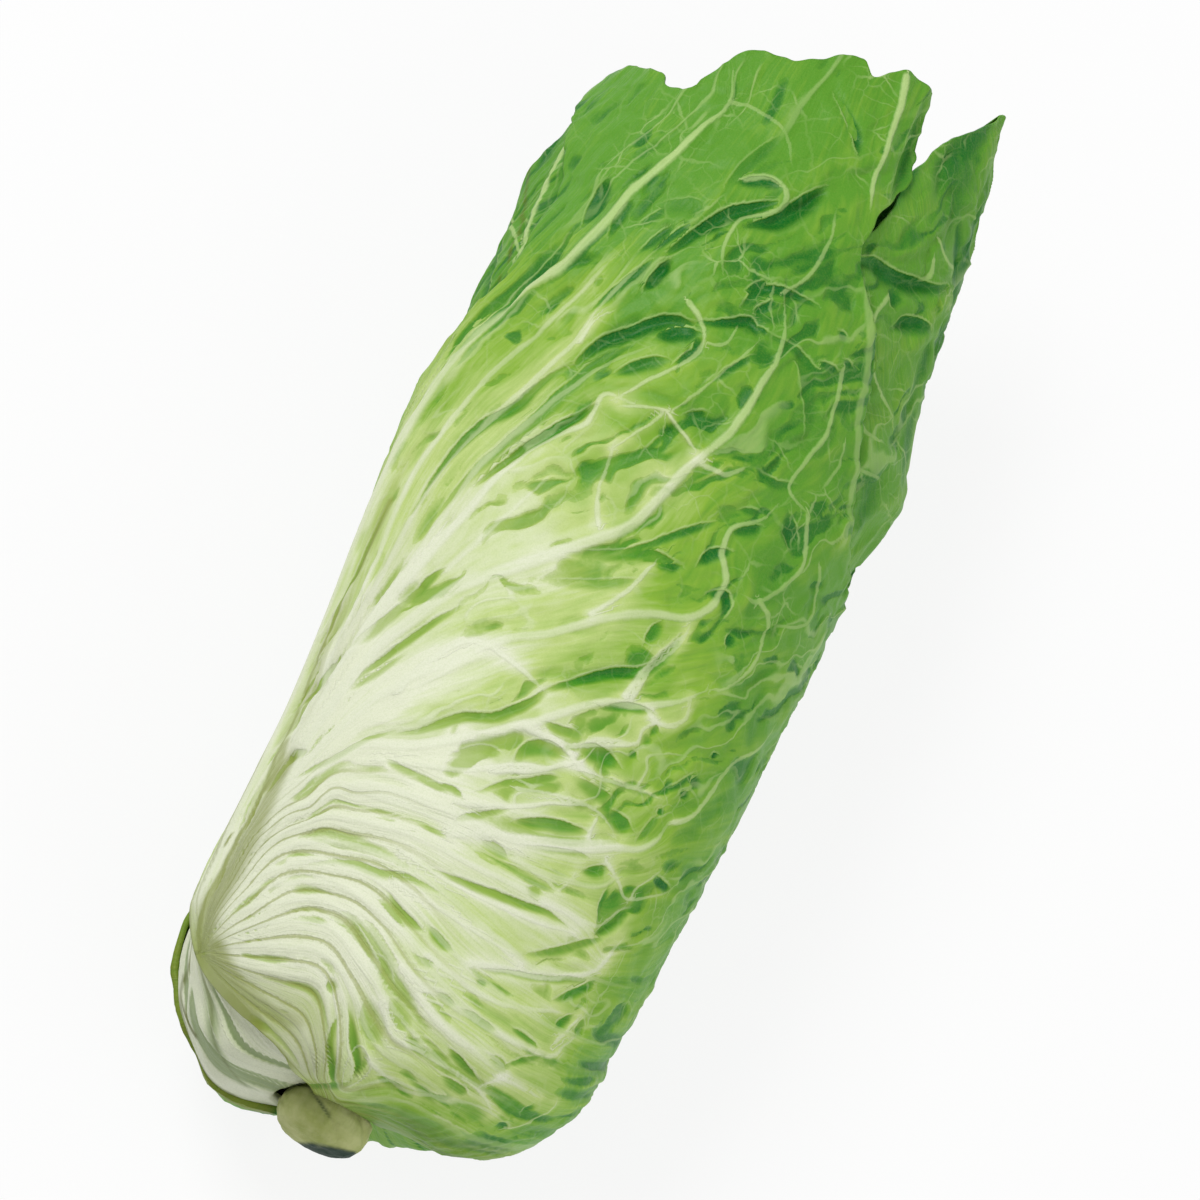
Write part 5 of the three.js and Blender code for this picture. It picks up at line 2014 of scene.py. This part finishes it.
@dataclass
class ChicoryHead:
    """The whole head: stump, wrapper leaves, folded inner leaves and heart bud."""

    form: HeadForm
    nesting: Nesting = field(default_factory=Nesting)
    inner_leaves: int = 10

    def wrappers(self) -> list[Leaf]:
        """The four wrapper leaves, outermost first."""
        front = FrontLeaf(
            name="front_leaf_blade", node="front_leaf", slot="leaf_green", outline=FRONT_OUTLINE,
            covering=[], inner=0, midrib=((7, -22), (60, -62), (300, -30)), columns=224, rows=400,
            seed=11, blister=0.45, frill=1.3, centred=0.25, coarse=0.0, stains=FRONT_STAINS,
            swellings=(
                Swelling(21, -18, 7, 15, 2.8), Swelling(130, -88, 60, 16, -1.0), TOP_LEFT_SWELLING,
            ),
        )
        under = Leaf(
            name="under_leaf_blade", node="under_leaf", slot="leaf_green", outline=UNDER_OUTLINE,
            covering=WRAPPERS[:1], inner=0, midrib=((7, 180), (300, 174)), columns=130, rows=230,
            seed=101, stains=UNDER_STAINS, blanch_reach=(-130.0, 60.0),
            swellings=(Swelling(31, -112, 24, 32, 1.9), Swelling(11, -132, 11, 30, 4.6)),
        )
        left = Leaf(
            name="left_leaf_blade", node="left_leaf", slot="leaf_green", outline=LEFT_OUTLINE,
            covering=WRAPPERS[:2], inner=0, columns=210, rows=300, seed=201, vein_strength=0.2,
            midrib=((7, -118), (60, -122), (150, -132), (288, -116)), blanch_reach=(30.0, 235.0),
            rib_height=((0, 1.2), (40, 0.8), (100, 0.5), (330, 0.3)), ribs=LEFT_RIBS,
            creases=LEFT_CREASES, stains=LEFT_STAINS,
            swellings=(
                TOP_LEFT_SWELLING, Swelling(32, -106, 24, 32, 2.8), Swelling(11, -126, 11, 34, 5.5),
            ),
        )
        right = Leaf(
            name="right_leaf_blade", node="right_leaf", slot="leaf_green", outline=RIGHT_OUTLINE,
            covering=WRAPPERS[:3], inner=0, midrib=((7, 104), (100, 112), (320, 96)),
            columns=200, rows=330, seed=301, blister=0.8, vein_strength=0.0, coarse=0.5, loose=1.0,
            ribs=RIGHT_RIBS, creases=RIGHT_CREASES, blanch_reach=(-130.0, 50.0),
            swellings=(Swelling(233, 90, 16, 30, 6.0), Swelling(290, 98, 24, 30, -0.5)),
        )
        return [front, under, left, right]

    def build(self) -> list[bpy.types.Object]:
        """Builds every piece, from the outside inwards.

        Returns:
            The pieces.
        """
        outer = LeafFinish("wrapper_leaf_skin").material()
        # deep_pale and deep_cream make the left leaf's painted shade gray-green.
        thick = LeafFinish(
            "left_leaf_skin", cream="#DDE2C6", deep_pale="#748A52", deep_cream="#8A9C74",
            stain="#62691F",
        ).material()
        pale = LeafFinish("inner_leaf_skin", fresh="#7FB03E", mid="#A5C65E").material()
        pieces = [Stump().build(self.form, StumpFinish().material())]
        for leaf in self.wrappers():
            skin = thick if leaf.node == "left_leaf" else outer
            pieces.append(leaf.build(self.form, self.nesting, skin))
        for index in range(self.inner_leaves):
            leaf = InnerLeaf.in_spiral(index, self.inner_leaves, WRAPPERS)
            pieces.append(leaf.build(self.form, self.nesting, pale))
        pieces.append(HeartBud().build(self.form, self.nesting, pale, self.inner_leaves))
        for piece in pieces:
            LOG.info("%s: %d faces", piece.name, len(piece.data.polygons))
        return pieces


def main() -> None:
    """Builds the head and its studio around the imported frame."""
    logging.basicConfig(level=logging.INFO, format="%(name)s: %(message)s")
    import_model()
    low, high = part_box("stump")
    form = HeadForm(((low.x + high.x) / 2 / MM, low.y / MM, (low.z + high.z) / 2 / MM))
    Studio().build(form)
    ChicoryHead(form).build()
    bpy.context.view_layer.update()


if __name__ == "__main__":
    main()
